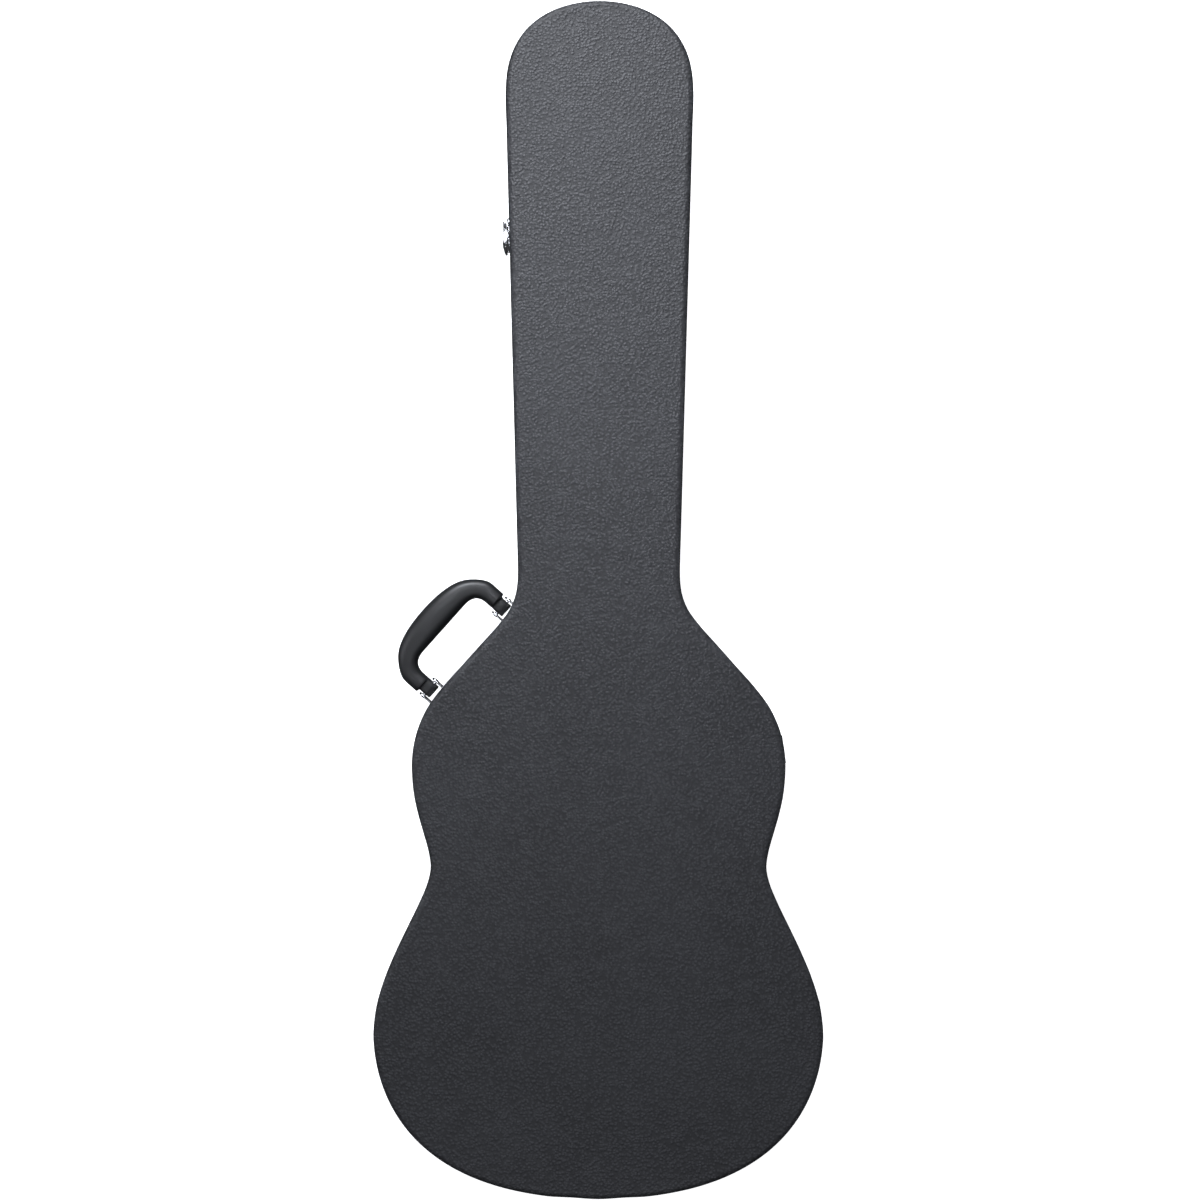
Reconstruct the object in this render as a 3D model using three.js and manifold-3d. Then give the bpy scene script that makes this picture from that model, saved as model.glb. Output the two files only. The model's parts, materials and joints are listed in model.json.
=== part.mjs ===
// A hard-shell classical guitar case, lying on its back and closed.
//
// Units are millimetres. +X runs across the case, from the latch and handle side (-X) to the
// hinge side (+X). +Y runs along it, from the tail to the head end. +Z is up, out of the lid.
// The origin is on the surface that the case lies on, under the middle of its outline.
//
// The box is a plywood rim glued to a plywood back, and the lid is the same again, shallower.
// Textured vinyl is stretched over the outside of both, and plush foam lines the inside.

import * as THREE from 'three';
import { mergeVertices } from 'three/addons/utils/BufferGeometryUtils.js';
import Module from 'manifold-3d';

const wasm = await Module();
wasm.setup();

// ---------------------------------------------------------------- driving dimensions

const HALF_LENGTH = 535;
const CASE_DEPTH = 130;
const PARTING_HEIGHT = 86; // where the lid meets the base
const LOWER_BOUT = { x: 201, y: -387 };
const WAIST = { x: 150, y: -239 };
const UPPER_BOUT = { x: 167, y: -150 };
const SHOULDER_START = { x: 140, y: -78.6 };
const SHOULDER_END = { x: 89, y: -21.4 };
const NECK_ROOT = { x: 72.4, y: 28.6 };
const NECK_TIP = { x: 84, y: 455 };

const TOUCH_GAP = 0.3; // between pieces that touch
const EDGE_RADIUS = 6; // rounded edge of the lid and of the back
const VINYL = 1; // covering thickness
const RIM_PLY = 5;
const PANEL_PLY = 4;
const FLOOR_FOAM = 8;
const LID_FOAM = 6;
const SIDE_FOAM = 7.6;
const PARTING_GAP = 0.5; // between the two coverings at the joint

const VALANCE_THICKNESS = 1.5; // the tongue inside the joint
const VALANCE_RISE = 8;
const VALANCE_DROP = 12;

const HINGE_WIDTH = 26;
const TAIL_HINGE_SHIFT = -10; // from the touching point, along the hinge line towards the head
const WAIST_HINGE_SHIFT = -4;
const HINGE_AXIS_OUT = 2.2; // from the wall to the hinge line
const HINGE_LINE_LEAN = 0.0012; // turns the line out at the head, which then clears the lid
const KNUCKLE_RADIUS = 1.8;
const HINGE_PIN_RADIUS = 0.8;

const BEVEL_STEPS = 2;

// ---------------------------------------------------------------- materials

const material = (color, roughness, metalness = 0) =>
  new THREE.MeshStandardMaterial({ color, roughness, metalness });

const VINYL_LOOK = material(0x2f3033, 0.6);
const PLY_LOOK = material(0xb08a5a, 0.75);
const PLUSH_LOOK = material(0x3a1f24, 0.95);
const PLASTIC_LOOK = material(0x15161a, 0.45);
const CHROME_LOOK = material(0xc9ccd0, 0.2, 1);
const HANDLE_LOOK = material(0x1b1c1f, 0.4);
const WEBBING_LOOK = material(0x1a1a1c, 0.9);

// ---------------------------------------------------------------- solids

const wholeCase = new THREE.Group();

// A manifold solid from a three.js geometry.
function solid(geometry) {
  const bare = geometry.index ? geometry.clone() : geometry;
  bare.deleteAttribute('normal');
  bare.deleteAttribute('uv');
  const merged = mergeVertices(bare, 1e-3);
  return new wasm.Manifold(new wasm.Mesh({
    numProp: 3,
    vertProperties: new Float32Array(merged.attributes.position.array),
    triVerts: new Uint32Array(merged.index.array),
  }));
}

// A three.js geometry from a manifold solid.
function geometryOf(shape) {
  const mesh = shape.getMesh();
  const geometry = new THREE.BufferGeometry();
  geometry.setAttribute('position', new THREE.BufferAttribute(mesh.vertProperties, 3));
  geometry.setIndex(new THREE.BufferAttribute(mesh.triVerts, 1));
  geometry.computeVertexNormals();
  return geometry;
}

// Adds a piece to a group as one named mesh.
function addPiece(name, shape, look, parent = wholeCase) {
  const mesh = new THREE.Mesh(geometryOf(shape), look);
  mesh.name = name;
  parent.add(mesh);
}

// A box between two corners, given as [low, high] for each axis.
function block([x0, x1], [y0, y1], [z0, z1]) {
  const geometry = new THREE.BoxGeometry(x1 - x0, y1 - y0, z1 - z0);
  geometry.translate((x0 + x1) / 2, (y0 + y1) / 2, (z0 + z1) / 2);
  return solid(geometry);
}

// A round bar along X, centred on (x, y, z).
function barX(radius, length, [x, y, z], sides = 12) {
  const geometry = new THREE.CylinderGeometry(radius, radius, length, sides);
  geometry.rotateZ(Math.PI / 2);
  geometry.translate(x, y, z);
  return solid(geometry);
}

// A round bar along Y, centred on (x, y, z).
function barY(radius, length, [x, y, z], sides = 18) {
  const geometry = new THREE.CylinderGeometry(radius, radius, length, sides);
  geometry.translate(x, y, z);
  return solid(geometry);
}

// A plate of the given outline, from z0 to z1.
function plate(outline, [z0, z1]) {
  const geometry = new THREE.ExtrudeGeometry(outline, { depth: z1 - z0, bevelEnabled: false });
  geometry.translate(0, 0, z0);
  return solid(geometry);
}

// An outline with rounded corners, width by height about (0, middle).
function roundedRectangle(width, [low, high], radius, steps = 3) {
  const right = width / 2 - radius;
  const corners = [
    [right, low + radius, -Math.PI / 2],
    [right, high - radius, 0],
    [-right, high - radius, Math.PI / 2],
    [-right, low + radius, Math.PI],
  ];
  const points = [];
  for (const [x, y, start] of corners) {
    for (let i = 0; i <= steps; i += 1) {
      const angle = start + (i / steps) * (Math.PI / 2);
      points.push(new THREE.Vector2(x + radius * Math.cos(angle), y + radius * Math.sin(angle)));
    }
  }
  return new THREE.Shape(points);
}

// A plate standing in the XZ plane, from y0 to y1, with an outline given in X and Z.
function uprightPlate(outline, [y0, y1]) {
  const geometry = new THREE.ExtrudeGeometry(outline, { depth: y1 - y0, bevelEnabled: false });
  geometry.rotateX(Math.PI / 2);
  geometry.translate(0, y1, 0);
  return solid(geometry);
}

// A plate standing in the YZ plane, centred on x = 0, with an outline given in Y and Z.
function crossPlate(outline, thickness) {
  const geometry = new THREE.ExtrudeGeometry(outline, { depth: thickness, bevelEnabled: false });
  geometry.applyMatrix4(new THREE.Matrix4().makeBasis(
    new THREE.Vector3(0, 1, 0),
    new THREE.Vector3(0, 0, 1),
    new THREE.Vector3(1, 0, 0),
  ));
  geometry.translate(-thickness / 2, 0, 0);
  return solid(geometry);
}

// ---------------------------------------------------------------- the outline

// The right half of the outline, from the tail to the head end. Each curve leaves one place
// and reaches the next along a direction, and has its own number of straight steps.
function halfOutline() {
  const shoulder = new THREE.Vector2(
    SHOULDER_END.x - SHOULDER_START.x,
    SHOULDER_END.y - SHOULDER_START.y,
  ).normalize();
  const across = new THREE.Vector2(1, 0);
  const up = new THREE.Vector2(0, 1);
  const back = new THREE.Vector2(-1, 0);
  const place = ({ x, y }) => new THREE.Vector2(x, y);
  const curve = (steps, [from, leaving, leave], [to, reaching, reach]) => ({
    steps,
    path: new THREE.CubicBezierCurve(
      place(from),
      place(from).addScaledVector(leaving, leave),
      place(to).addScaledVector(reaching, -reach),
      place(to),
    ),
  });
  const line = (from, to) => ({ steps: 1, path: new THREE.LineCurve(place(from), place(to)) });
  const tail = { x: 0, y: -HALF_LENGTH };
  const head = { x: 0, y: HALF_LENGTH };
  return [
    curve(11, [tail, across, 190], [LOWER_BOUT, up, 30]),
    curve(7, [LOWER_BOUT, up, 56], [WAIST, up, 28]),
    curve(5, [WAIST, up, 22], [UPPER_BOUT, up, 40]),
    curve(5, [UPPER_BOUT, up, 14], [SHOULDER_START, shoulder, 38]),
    line(SHOULDER_START, SHOULDER_END),
    curve(4, [SHOULDER_END, shoulder, 25], [NECK_ROOT, up, 16]),
    line(NECK_ROOT, NECK_TIP),
    curve(9, [NECK_TIP, up, 77], [head, back, 14]),
  ];
}

// The whole outline as points, counterclockwise, starting at the tail.
function outlinePoints(detail) {
  const right = halfOutline().flatMap(({ steps, path }) => (
    path.getPoints(steps * detail).slice(0, -1)
  ));
  const left = right.slice(1).map((point) => new THREE.Vector2(-point.x, point.y));
  return [...right, new THREE.Vector2(0, HALF_LENGTH), ...left.reverse()];
}

// The outline moved inward by a distance, with every side kept parallel.
function insetPoints(points, distance) {
  return points.map((point, i) => {
    const before = points[(i + points.length - 1) % points.length];
    const after = points[(i + 1) % points.length];
    const inward = (from, to) => {
      const side = to.clone().sub(from).normalize();
      return new THREE.Vector2(-side.y, side.x);
    };
    const first = inward(before, point);
    const second = inward(point, after);
    const miter = first.clone().add(second).divideScalar(1 + first.dot(second));
    return point.clone().addScaledVector(miter, distance);
  });
}

const OUTLINE = outlinePoints(1);
const FINE_OUTLINE = outlinePoints(16);

// The closed case's outer shape, every face moved inward by a distance.
function shrunkCase(inset) {
  const radius = EDGE_RADIUS - inset;
  const outline = new THREE.Shape(insetPoints(OUTLINE, inset));
  const depth = CASE_DEPTH - 2 * EDGE_RADIUS;
  const geometry = new THREE.ExtrudeGeometry(outline, {
    depth,
    bevelThickness: radius,
    bevelSize: radius,
    bevelOffset: -radius,
    bevelSegments: BEVEL_STEPS,
  });
  geometry.translate(0, 0, EDGE_RADIUS);
  return solid(geometry);
}

// An upright slab of the case's plan, moved inward by a distance.
function slab(inset, heights) {
  return plate(new THREE.Shape(insetPoints(OUTLINE, inset)), heights);
}

// An upright ring that follows the outline, between two insets.
function ring(outerInset, innerInset, heights) {
  const [low, high] = heights;
  return slab(outerInset, heights).subtract(slab(innerInset, [low - 1, high + 1]));
}

// Everything between two heights.
const REACH = HALF_LENGTH + 50;
const layer = (heights) => block([-REACH, REACH], [-REACH, REACH], heights);

// ---------------------------------------------------------------- box and lid shells

const PLY_INSET = VINYL + TOUCH_GAP;
const RIM_INNER = PLY_INSET + RIM_PLY;
const LINING_INSET = RIM_INNER + TOUCH_GAP;
const LINING_INNER = LINING_INSET + SIDE_FOAM;
const VALANCE_INNER = LINING_INSET + VALANCE_THICKNESS;

const baseTop = PARTING_HEIGHT - PARTING_GAP / 2;
const lidBottom = PARTING_HEIGHT + PARTING_GAP / 2;
const backPlyTop = PLY_INSET + PANEL_PLY;
const lidPlyBottom = CASE_DEPTH - backPlyTop;
const floorTop = backPlyTop + TOUCH_GAP + FLOOR_FOAM;
const ceiling = lidPlyBottom - TOUCH_GAP - LID_FOAM;

const skin = shrunkCase(0).subtract(shrunkCase(VINYL));
const plyBody = shrunkCase(PLY_INSET);

// A rim is bent from four strips that butt together at the waist and where the neck starts.
function addRim(name, heights) {
  const rim = plyBody
    .subtract(slab(RIM_INNER, [-1, CASE_DEPTH + 1]))
    .intersect(layer(heights));
  const half = TOUCH_GAP / 2;
  const piece = (x, y) => rim.intersect(block(x, y, [-1, CASE_DEPTH + 1]));
  const everywhere = [-REACH, REACH];
  const shoulders = [WAIST.y + half, NECK_ROOT.y - half];
  addPiece(`${name}_tail_strip`, piece(everywhere, [-REACH, WAIST.y - half]), PLY_LOOK);
  addPiece(`${name}_left_strip`, piece([-REACH, 0], shoulders), PLY_LOOK);
  addPiece(`${name}_right_strip`, piece([0, REACH], shoulders), PLY_LOOK);
  addPiece(`${name}_neck_strip`, piece(everywhere, [NECK_ROOT.y + half, REACH]), PLY_LOOK);
}

function addBaseShell() {
  addPiece('base_back_covering', skin.intersect(layer([-1, EDGE_RADIUS])), VINYL_LOOK);
  addPiece(
    'base_side_covering',
    skin.intersect(layer([EDGE_RADIUS + TOUCH_GAP, baseTop])),
    VINYL_LOOK,
  );
  addPiece('base_back_panel', plyBody.intersect(layer([0, backPlyTop])), PLY_LOOK);
  addRim('base_rim', [backPlyTop + TOUCH_GAP, baseTop]);
  addPiece(
    'base_valance',
    ring(LINING_INSET, VALANCE_INNER, [PARTING_HEIGHT - VALANCE_DROP, PARTING_HEIGHT + VALANCE_RISE]),
    PLASTIC_LOOK,
  );
  addPiece(
    'base_floor_padding',
    slab(LINING_INSET, [backPlyTop + TOUCH_GAP, floorTop]),
    PLUSH_LOOK,
  );
  addPiece(
    'base_side_padding',
    ring(LINING_INSET, LINING_INNER, [
      floorTop + TOUCH_GAP,
      PARTING_HEIGHT - VALANCE_DROP - TOUCH_GAP,
    ]),
    PLUSH_LOOK,
  );
}

function addLidShell() {
  const edge = CASE_DEPTH - EDGE_RADIUS;
  addPiece('lid_top_covering', skin.intersect(layer([edge, CASE_DEPTH + 1])), VINYL_LOOK);
  addPiece('lid_side_covering', skin.intersect(layer([lidBottom, edge - TOUCH_GAP])), VINYL_LOOK);
  addPiece('lid_top_panel', plyBody.intersect(layer([lidPlyBottom, CASE_DEPTH])), PLY_LOOK);
  addRim('lid_rim', [lidBottom, lidPlyBottom - TOUCH_GAP]);
  addPiece(
    'lid_top_padding',
    slab(LINING_INSET, [ceiling, lidPlyBottom - TOUCH_GAP]),
    PLUSH_LOOK,
  );
  const sideLining = 3;
  addPiece(
    'lid_side_padding',
    ring(LINING_INSET, LINING_INSET + sideLining, [
      PARTING_HEIGHT + VALANCE_RISE + 1,
      ceiling - TOUCH_GAP,
    ]),
    PLUSH_LOOK,
  );
}

// ---------------------------------------------------------------- inside the box

const CRADLE = { y: [176, 206], top: 92, notchTop: 64, notchFloor: 58 };
const COMPARTMENT_WALL = { y: [4, 12], top: 58 };
const COMPARTMENT_LID = { thickness: 6, endGap: 3, sideGap: 1.5 };

function addInside() {
  const room = slab(LINING_INNER + TOUCH_GAP, [floorTop + TOUCH_GAP, PARTING_HEIGHT + VALANCE_RISE]);

  // The cradle holds the guitar's neck in a rounded notch.
  const notch = new THREE.Shape();
  notch.moveTo(-46, CRADLE.top + 1);
  notch.lineTo(-34, CRADLE.notchTop + 8);
  notch.quadraticCurveTo(-30, CRADLE.notchFloor, 0, CRADLE.notchFloor);
  notch.quadraticCurveTo(30, CRADLE.notchFloor, 34, CRADLE.notchTop + 8);
  notch.lineTo(46, CRADLE.top + 1);
  const [cradleStart, cradleEnd] = CRADLE.y;
  const notchGeometry = new THREE.ExtrudeGeometry(notch, {
    depth: cradleEnd - cradleStart + 2,
    bevelEnabled: false,
    curveSegments: 6,
  });
  notchGeometry.rotateX(Math.PI / 2);
  notchGeometry.translate(0, cradleEnd + 1, 0);
  const lowRoom = room.intersect(layer([0, PARTING_HEIGHT - VALANCE_DROP - 1]));
  const highRoom = room.intersect(layer([PARTING_HEIGHT - VALANCE_DROP - 2, CRADLE.top]));
  addPiece(
    'neck_cradle',
    lowRoom.add(highRoom)
      .intersect(block([-200, 200], CRADLE.y, [0, CRADLE.top]))
      .subtract(solid(notchGeometry)),
    PLUSH_LOOK,
  );

  addPiece(
    'compartment_wall',
    room.intersect(block([-200, 200], COMPARTMENT_WALL.y, [0, COMPARTMENT_WALL.top])),
    PLUSH_LOOK,
  );

  // The accessory compartment's lid hinges on top of the wall nearest the body.
  const lidStart = COMPARTMENT_WALL.y[0];
  const lidEnd = cradleStart - COMPARTMENT_LID.endGap;
  const lidLow = COMPARTMENT_WALL.top + TOUCH_GAP;
  const lidHigh = lidLow + COMPARTMENT_LID.thickness;
  addPiece(
    'compartment_lid',
    slab(LINING_INNER + COMPARTMENT_LID.sideGap, [lidLow, lidHigh])
      .intersect(block([-200, 200], [lidStart, lidEnd], [0, CASE_DEPTH])),
    PLUSH_LOOK,
  );
  const tabWidth = 16;
  const tabLength = 24;
  const tab = roundedRectangle(tabWidth, [lidEnd - tabLength, lidEnd - 2], 5);
  addPiece(
    'compartment_pull_tab',
    plate(tab, [lidHigh + TOUCH_GAP, lidHigh + TOUCH_GAP + 1.4]),
    WEBBING_LOOK,
  );
}

// ---------------------------------------------------------------- the lid's stay strap

const STRAP = { y: 238, width: 24, thickness: 1.4, folds: 3, foldHeight: 30, topHeight: 70 };

// A webbing strap from the box's side to the lid's, folded flat against the neck's side lining.
function addStayStrap() {
  const wall = wallSpot(new THREE.Vector2(NECK_TIP.x, STRAP.y));
  const zigzag = [];
  const pitch = STRAP.thickness + 0.6;
  for (let i = 0; i <= STRAP.folds; i += 1) {
    const start = LINING_INNER + TOUCH_GAP + i * pitch;
    zigzag.push([start, start + STRAP.thickness]);
  }
  let strap = null;
  zigzag.forEach(([near, far], i) => {
    const run = block(
      [-far, -near],
      [-STRAP.width / 2, STRAP.width / 2],
      [STRAP.topHeight - STRAP.foldHeight, STRAP.topHeight],
    );
    strap = strap ? strap.add(run) : run;
    if (i === 0) {
      return;
    }
    const atTop = i % 2 === 1;
    const end = atTop ? STRAP.topHeight : STRAP.topHeight - STRAP.foldHeight;
    const fold = block(
      [-far, -zigzag[i - 1][0]],
      [-STRAP.width / 2, STRAP.width / 2],
      atTop ? [end - STRAP.thickness, end] : [end, end + STRAP.thickness],
    );
    strap = strap.add(fold);
  });
  const group = new THREE.Group();
  group.position.set(wall.point.x, wall.point.y, 0);
  group.rotation.z = wall.angle;
  wholeCase.add(group);
  addPiece('stay_strap', strap, WEBBING_LOOK, group);
}

// ---------------------------------------------------------------- places on the side wall

// The wall's point nearest a place, and the direction that faces out of the wall there.
function wallSpot(near) {
  let spot = null;
  FINE_OUTLINE.forEach((start, i) => {
    const side = FINE_OUTLINE[(i + 1) % FINE_OUTLINE.length].clone().sub(start);
    const share = near.clone().sub(start).dot(side) / side.lengthSq();
    const point = start.clone().addScaledVector(side, Math.min(Math.max(share, 0), 1));
    const distance = point.distanceTo(near);
    if (!spot || distance < spot.distance) {
      spot = { distance, point, angle: Math.atan2(-side.x, side.y) };
    }
  });
  return spot;
}

// The straight line along both bouts on the hinge side, leaning out a little at the head.
function hingeLine() {
  const right = FINE_OUTLINE.filter((point) => point.x > 0 && point.y < SHOULDER_END.y);
  const reach = (points, out) => points.reduce((best, point) => (
    point.dot(out) > best.dot(out) ? point : best
  ));
  const lower = right.filter((point) => point.y < WAIST.y);
  const upper = right.filter((point) => point.y > WAIST.y);
  let tilt = 0;
  let touch = [];
  for (let i = 0; i < 20; i += 1) {
    const out = new THREE.Vector2(Math.cos(tilt), Math.sin(tilt));
    touch = [reach(lower, out), reach(upper, out)];
    tilt = Math.atan2(touch[0].x - touch[1].x, touch[1].y - touch[0].y);
  }
  const away = new THREE.Vector2(Math.cos(tilt), Math.sin(tilt));
  const leanOut = HINGE_LINE_LEAN * touch[0].distanceTo(touch[1]);
  return {
    tilt: tilt - HINGE_LINE_LEAN,
    lower: touch[0],
    upper: touch[1].clone().addScaledVector(away, leanOut),
  };
}

const LINE = hingeLine();

// The wall, and a strip of metal laid along it, as seen from a piece's own place and angle.
function wallStrip(place, angle, thickness) {
  const localOutline = (inset) => new THREE.Shape(insetPoints(OUTLINE, inset).map((point) => (
    point.clone().sub(place).rotateAround(new THREE.Vector2(), -angle)
  )));
  const wall = plate(localOutline(-TOUCH_GAP), [-CASE_DEPTH, CASE_DEPTH]);
  const strip = plate(localOutline(-TOUCH_GAP - thickness), [-50, 50]).subtract(wall);
  return { wall, strip };
}

// ---------------------------------------------------------------- hinges

// One hinge is drawn about its own place on the line: +X faces out, Y runs along the pin.
function addHinge(name, touch, shift) {
  const along = new THREE.Vector2(-Math.sin(LINE.tilt), Math.cos(LINE.tilt));
  const point = touch.clone().addScaledVector(along, shift);
  const group = new THREE.Group();
  group.position.set(point.x, point.y, PARTING_HEIGHT);
  group.rotation.z = LINE.tilt;
  wholeCase.add(group);

  const half = HINGE_WIDTH / 2;
  const leafThickness = 1;
  const leafReach = 20;
  const webHeight = 3;
  const knuckle = HINGE_WIDTH / 3;
  const { wall, strip } = wallStrip(point, LINE.tilt, leafThickness);

  const knuckleAt = (middle, length) => (
    barY(KNUCKLE_RADIUS, length - TOUCH_GAP, [HINGE_AXIS_OUT, middle, 0], 12)
  );
  const bore = barY(HINGE_PIN_RADIUS + TOUCH_GAP, HINGE_WIDTH + 4, [HINGE_AXIS_OUT, 0, 0], 12);
  const webAt = (middle, length, heights) => block(
    [-4, HINGE_AXIS_OUT],
    [middle - (length - TOUCH_GAP) / 2, middle + (length - TOUCH_GAP) / 2],
    heights,
  );
  const leaf = (heights) => strip.intersect(block([-10, 10], [-half, half], heights));

  const baseWeb = [-webHeight, -0.6];
  const baseLeaf = leaf([-leafReach, -0.6])
    .add(knuckleAt(-knuckle, knuckle))
    .add(knuckleAt(knuckle, knuckle))
    .add(webAt(-knuckle, knuckle, baseWeb))
    .add(webAt(knuckle, knuckle, baseWeb))
    .subtract(wall)
    .subtract(bore)
    .subtract(block([-10, 10], [-knuckle / 2, knuckle / 2], [-webHeight - 0.6, 10]));
  addPiece(`${name}_base_leaf`, baseLeaf, CHROME_LOOK, group);

  const lidWeb = [0.6, webHeight];
  const clearKnuckle = (middle) => barY(
    KNUCKLE_RADIUS + TOUCH_GAP,
    knuckle + TOUCH_GAP,
    [HINGE_AXIS_OUT, middle, 0],
    12,
  );
  const lidLeaf = leaf([0.6, leafReach])
    .add(knuckleAt(0, knuckle))
    .add(webAt(0, knuckle, lidWeb))
    .subtract(wall)
    .subtract(bore)
    .subtract(clearKnuckle(-knuckle))
    .subtract(clearKnuckle(knuckle));
  addPiece(`${name}_lid_leaf`, lidLeaf, CHROME_LOOK, group);

  addPiece(
    `${name}_pin`,
    barY(HINGE_PIN_RADIUS, HINGE_WIDTH, [HINGE_AXIS_OUT, 0, 0], 10),
    CHROME_LOOK,
    group,
  );
}

// ---------------------------------------------------------------- draw latches

// A latch is drawn about its place on the wall: Y faces out, X runs along the wall, z = 0 is
// the parting line. The claw hangs on a pin across the lever and hooks over the keeper.
const LATCH = {
  plateWidth: 30,
  plateHeights: [-40, -3],
  plateThickness: 1.2,
  pivot: [4.8, -13], // lever pivot: out from the wall, and height
  clawPivot: [4.1, -20],
  earRadius: 3.6,
  earInner: 8,
  earOuter: 9.4,
  hubRadius: 2.6,
  hubHalf: 7.6,
  bladeHalf: 12,
  bladeTop: -24, // the blade is full width below this height
  tipOut: 9.8,
  clawPinRadius: 1,
  clawEyeRadius: 2.2,
  armInner: 9.9,
  armOuter: 11.5,
  armOuts: [2.6, 5.6],
  hookRise: 2.4,
  keeperHeights: [8, 9.5],
  keeperFlange: [3, 26],
  keeperReach: 5,
};

function latchPlate() {
  const base = [TOUCH_GAP, TOUCH_GAP + LATCH.plateThickness];
  const [out, height] = LATCH.pivot;
  let shape = uprightPlate(roundedRectangle(LATCH.plateWidth, LATCH.plateHeights, 6), base);
  const earWidth = LATCH.earOuter - LATCH.earInner;
  for (const side of [-1, 1]) {
    const middle = side * (LATCH.earInner + earWidth / 2);
    shape = shape
      .add(barX(LATCH.earRadius, earWidth, [middle, out, height]))
      .add(block(
        [middle - earWidth / 2, middle + earWidth / 2],
        [base[1] - 0.2, out],
        [height - LATCH.earRadius, height + LATCH.earRadius],
      ));
  }
  return shape.add(barX(1.2, 2 * LATCH.earOuter, [0, out, height], 12));
}

function latchLever(lockable) {
  const [out, height] = LATCH.pivot;
  const [clawOut, clawHeight] = LATCH.clawPivot;
  const hubWidth = 2 * LATCH.hubHalf;
  // The lever's side view: it leaves the hub, lies along the plate and turns out at the tip.
  const profile = new THREE.Shape();
  profile.moveTo(out + 0.4, height + 2);
  profile.lineTo(out + 2.4, height);
  profile.quadraticCurveTo(7.6, -20, 7.2, -32);
  profile.quadraticCurveTo(7.4, -36, LATCH.tipOut, -39);
  profile.lineTo(8.6, -40);
  profile.quadraticCurveTo(5.8, -37, 5.6, -32);
  profile.lineTo(5.6, -20);
  profile.lineTo(out - 0.4, height - 2.2);
  const wide = LATCH.bladeHalf;
  const beside = (x) => block(x, [0, 20], [LATCH.bladeTop, 0]);
  const blade = crossPlate(profile, 2 * wide)
    .subtract(beside([-wide - 1, -LATCH.hubHalf]))
    .subtract(beside([LATCH.hubHalf, wide + 1]));
  let shape = barX(LATCH.hubRadius, hubWidth, [0, out, height], 14)
    .add(blade)
    .add(block(
      [-LATCH.hubHalf, LATCH.hubHalf],
      [clawOut - 0.9, 6.4],
      [clawHeight - 1.2, clawHeight + 1.2],
    ))
    .add(barX(LATCH.clawPinRadius, 2 * LATCH.armOuter + 1.4, [0, clawOut, clawHeight], 12))
    .subtract(barX(1.2 + TOUCH_GAP, hubWidth + 4, [0, out, height], 12));
  if (lockable) {
    shape = shape.subtract(barY(LOCK.radius + TOUCH_GAP, 20, [0, 6, LOCK.height]));
  }
  return shape;
}

function latchClaw() {
  const [clawOut, clawHeight] = LATCH.clawPivot;
  const top = LATCH.keeperHeights[1] + TOUCH_GAP;
  const armWidth = LATCH.armOuter - LATCH.armInner;
  const [inner, outer] = LATCH.armOuts;
  const front = outer + 1.4;
  const across = [-LATCH.armOuter, LATCH.armOuter];
  let shape = block(across, [inner, front], [top, top + LATCH.hookRise]);
  for (const side of [-1, 1]) {
    const middle = side * (LATCH.armInner + armWidth / 2);
    shape = shape
      .add(block(
        [middle - armWidth / 2, middle + armWidth / 2],
        [inner, outer],
        [clawHeight, top + 0.4],
      ))
      .add(barX(LATCH.clawEyeRadius, armWidth, [middle, clawOut, clawHeight]));
  }
  // The front bar joins the two arms across the keeper's mouth.
  shape = shape.add(block(
    across,
    [LATCH.keeperReach + 2 * TOUCH_GAP, front],
    [LATCH.keeperHeights[0] - 3, top + 0.4],
  ));
  return shape.subtract(barX(LATCH.clawPinRadius + TOUCH_GAP, 40, [0, clawOut, clawHeight], 12));
}

function latchKeeper() {
  const base = [TOUCH_GAP, TOUCH_GAP + LATCH.plateThickness];
  const flange = uprightPlate(roundedRectangle(2 * LATCH.earOuter, LATCH.keeperFlange, 4), base);
  return flange.add(block(
    [-LATCH.earOuter, LATCH.earOuter],
    [base[1] - 0.2, LATCH.keeperReach],
    LATCH.keeperHeights,
  ));
}

const LOCK = { radius: 3.6, height: -29, depth: [4.2, 8.4] };

function lockBarrel() {
  const [inner, outer] = LOCK.depth;
  return barY(LOCK.radius, outer - inner, [0, (inner + outer) / 2, LOCK.height])
    .subtract(block([-0.6, 0.6], [outer - 1.5, outer + 1], [LOCK.height - 2.2, LOCK.height + 2.2]));
}

const LATCHES = [
  { name: 'neck_latch', near: new THREE.Vector2(-81, 337), lockable: false },
  { name: 'lower_bout_latch', near: new THREE.Vector2(-162, -483), lockable: true },
  { name: 'tail_latch', near: new THREE.Vector2(92, -522), lockable: false },
];

function addLatch({ name, near, lockable }) {
  const wall = wallSpot(near);
  const group = new THREE.Group();
  group.position.set(wall.point.x, wall.point.y, PARTING_HEIGHT);
  group.rotation.z = wall.angle - Math.PI / 2;
  wholeCase.add(group);
  addPiece(`${name}_plate`, latchPlate(), CHROME_LOOK, group);
  addPiece(`${name}_lever`, latchLever(lockable), CHROME_LOOK, group);
  addPiece(`${name}_claw`, latchClaw(), CHROME_LOOK, group);
  addPiece(`${name}_keeper`, latchKeeper(), CHROME_LOOK, group);
  if (lockable) {
    addPiece(`${name}_lock_barrel`, lockBarrel(), CHROME_LOOK, group);
  }
}

// ---------------------------------------------------------------- carrying handle

// The handle is drawn about its middle on the shoulder wall: Y faces out, X runs along.
const HANDLE = {
  along: -116.7, // from the foot of the shoulder's normal, along the shoulder
  height: 60,
  lug: 51, // from the middle to a lug's own middle
  lugWidth: 13.6,
  lugDepth: 12,
  pivotOut: 11,
  pivotRadius: 1.8,
  step: 18, // out from the wall, where a lug widens into an arm
  armOuter: 61.2,
  crown: 64.8,
  inner: 38.7,
  gripDepth: 25,
  endDepth: 18,
};

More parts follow.
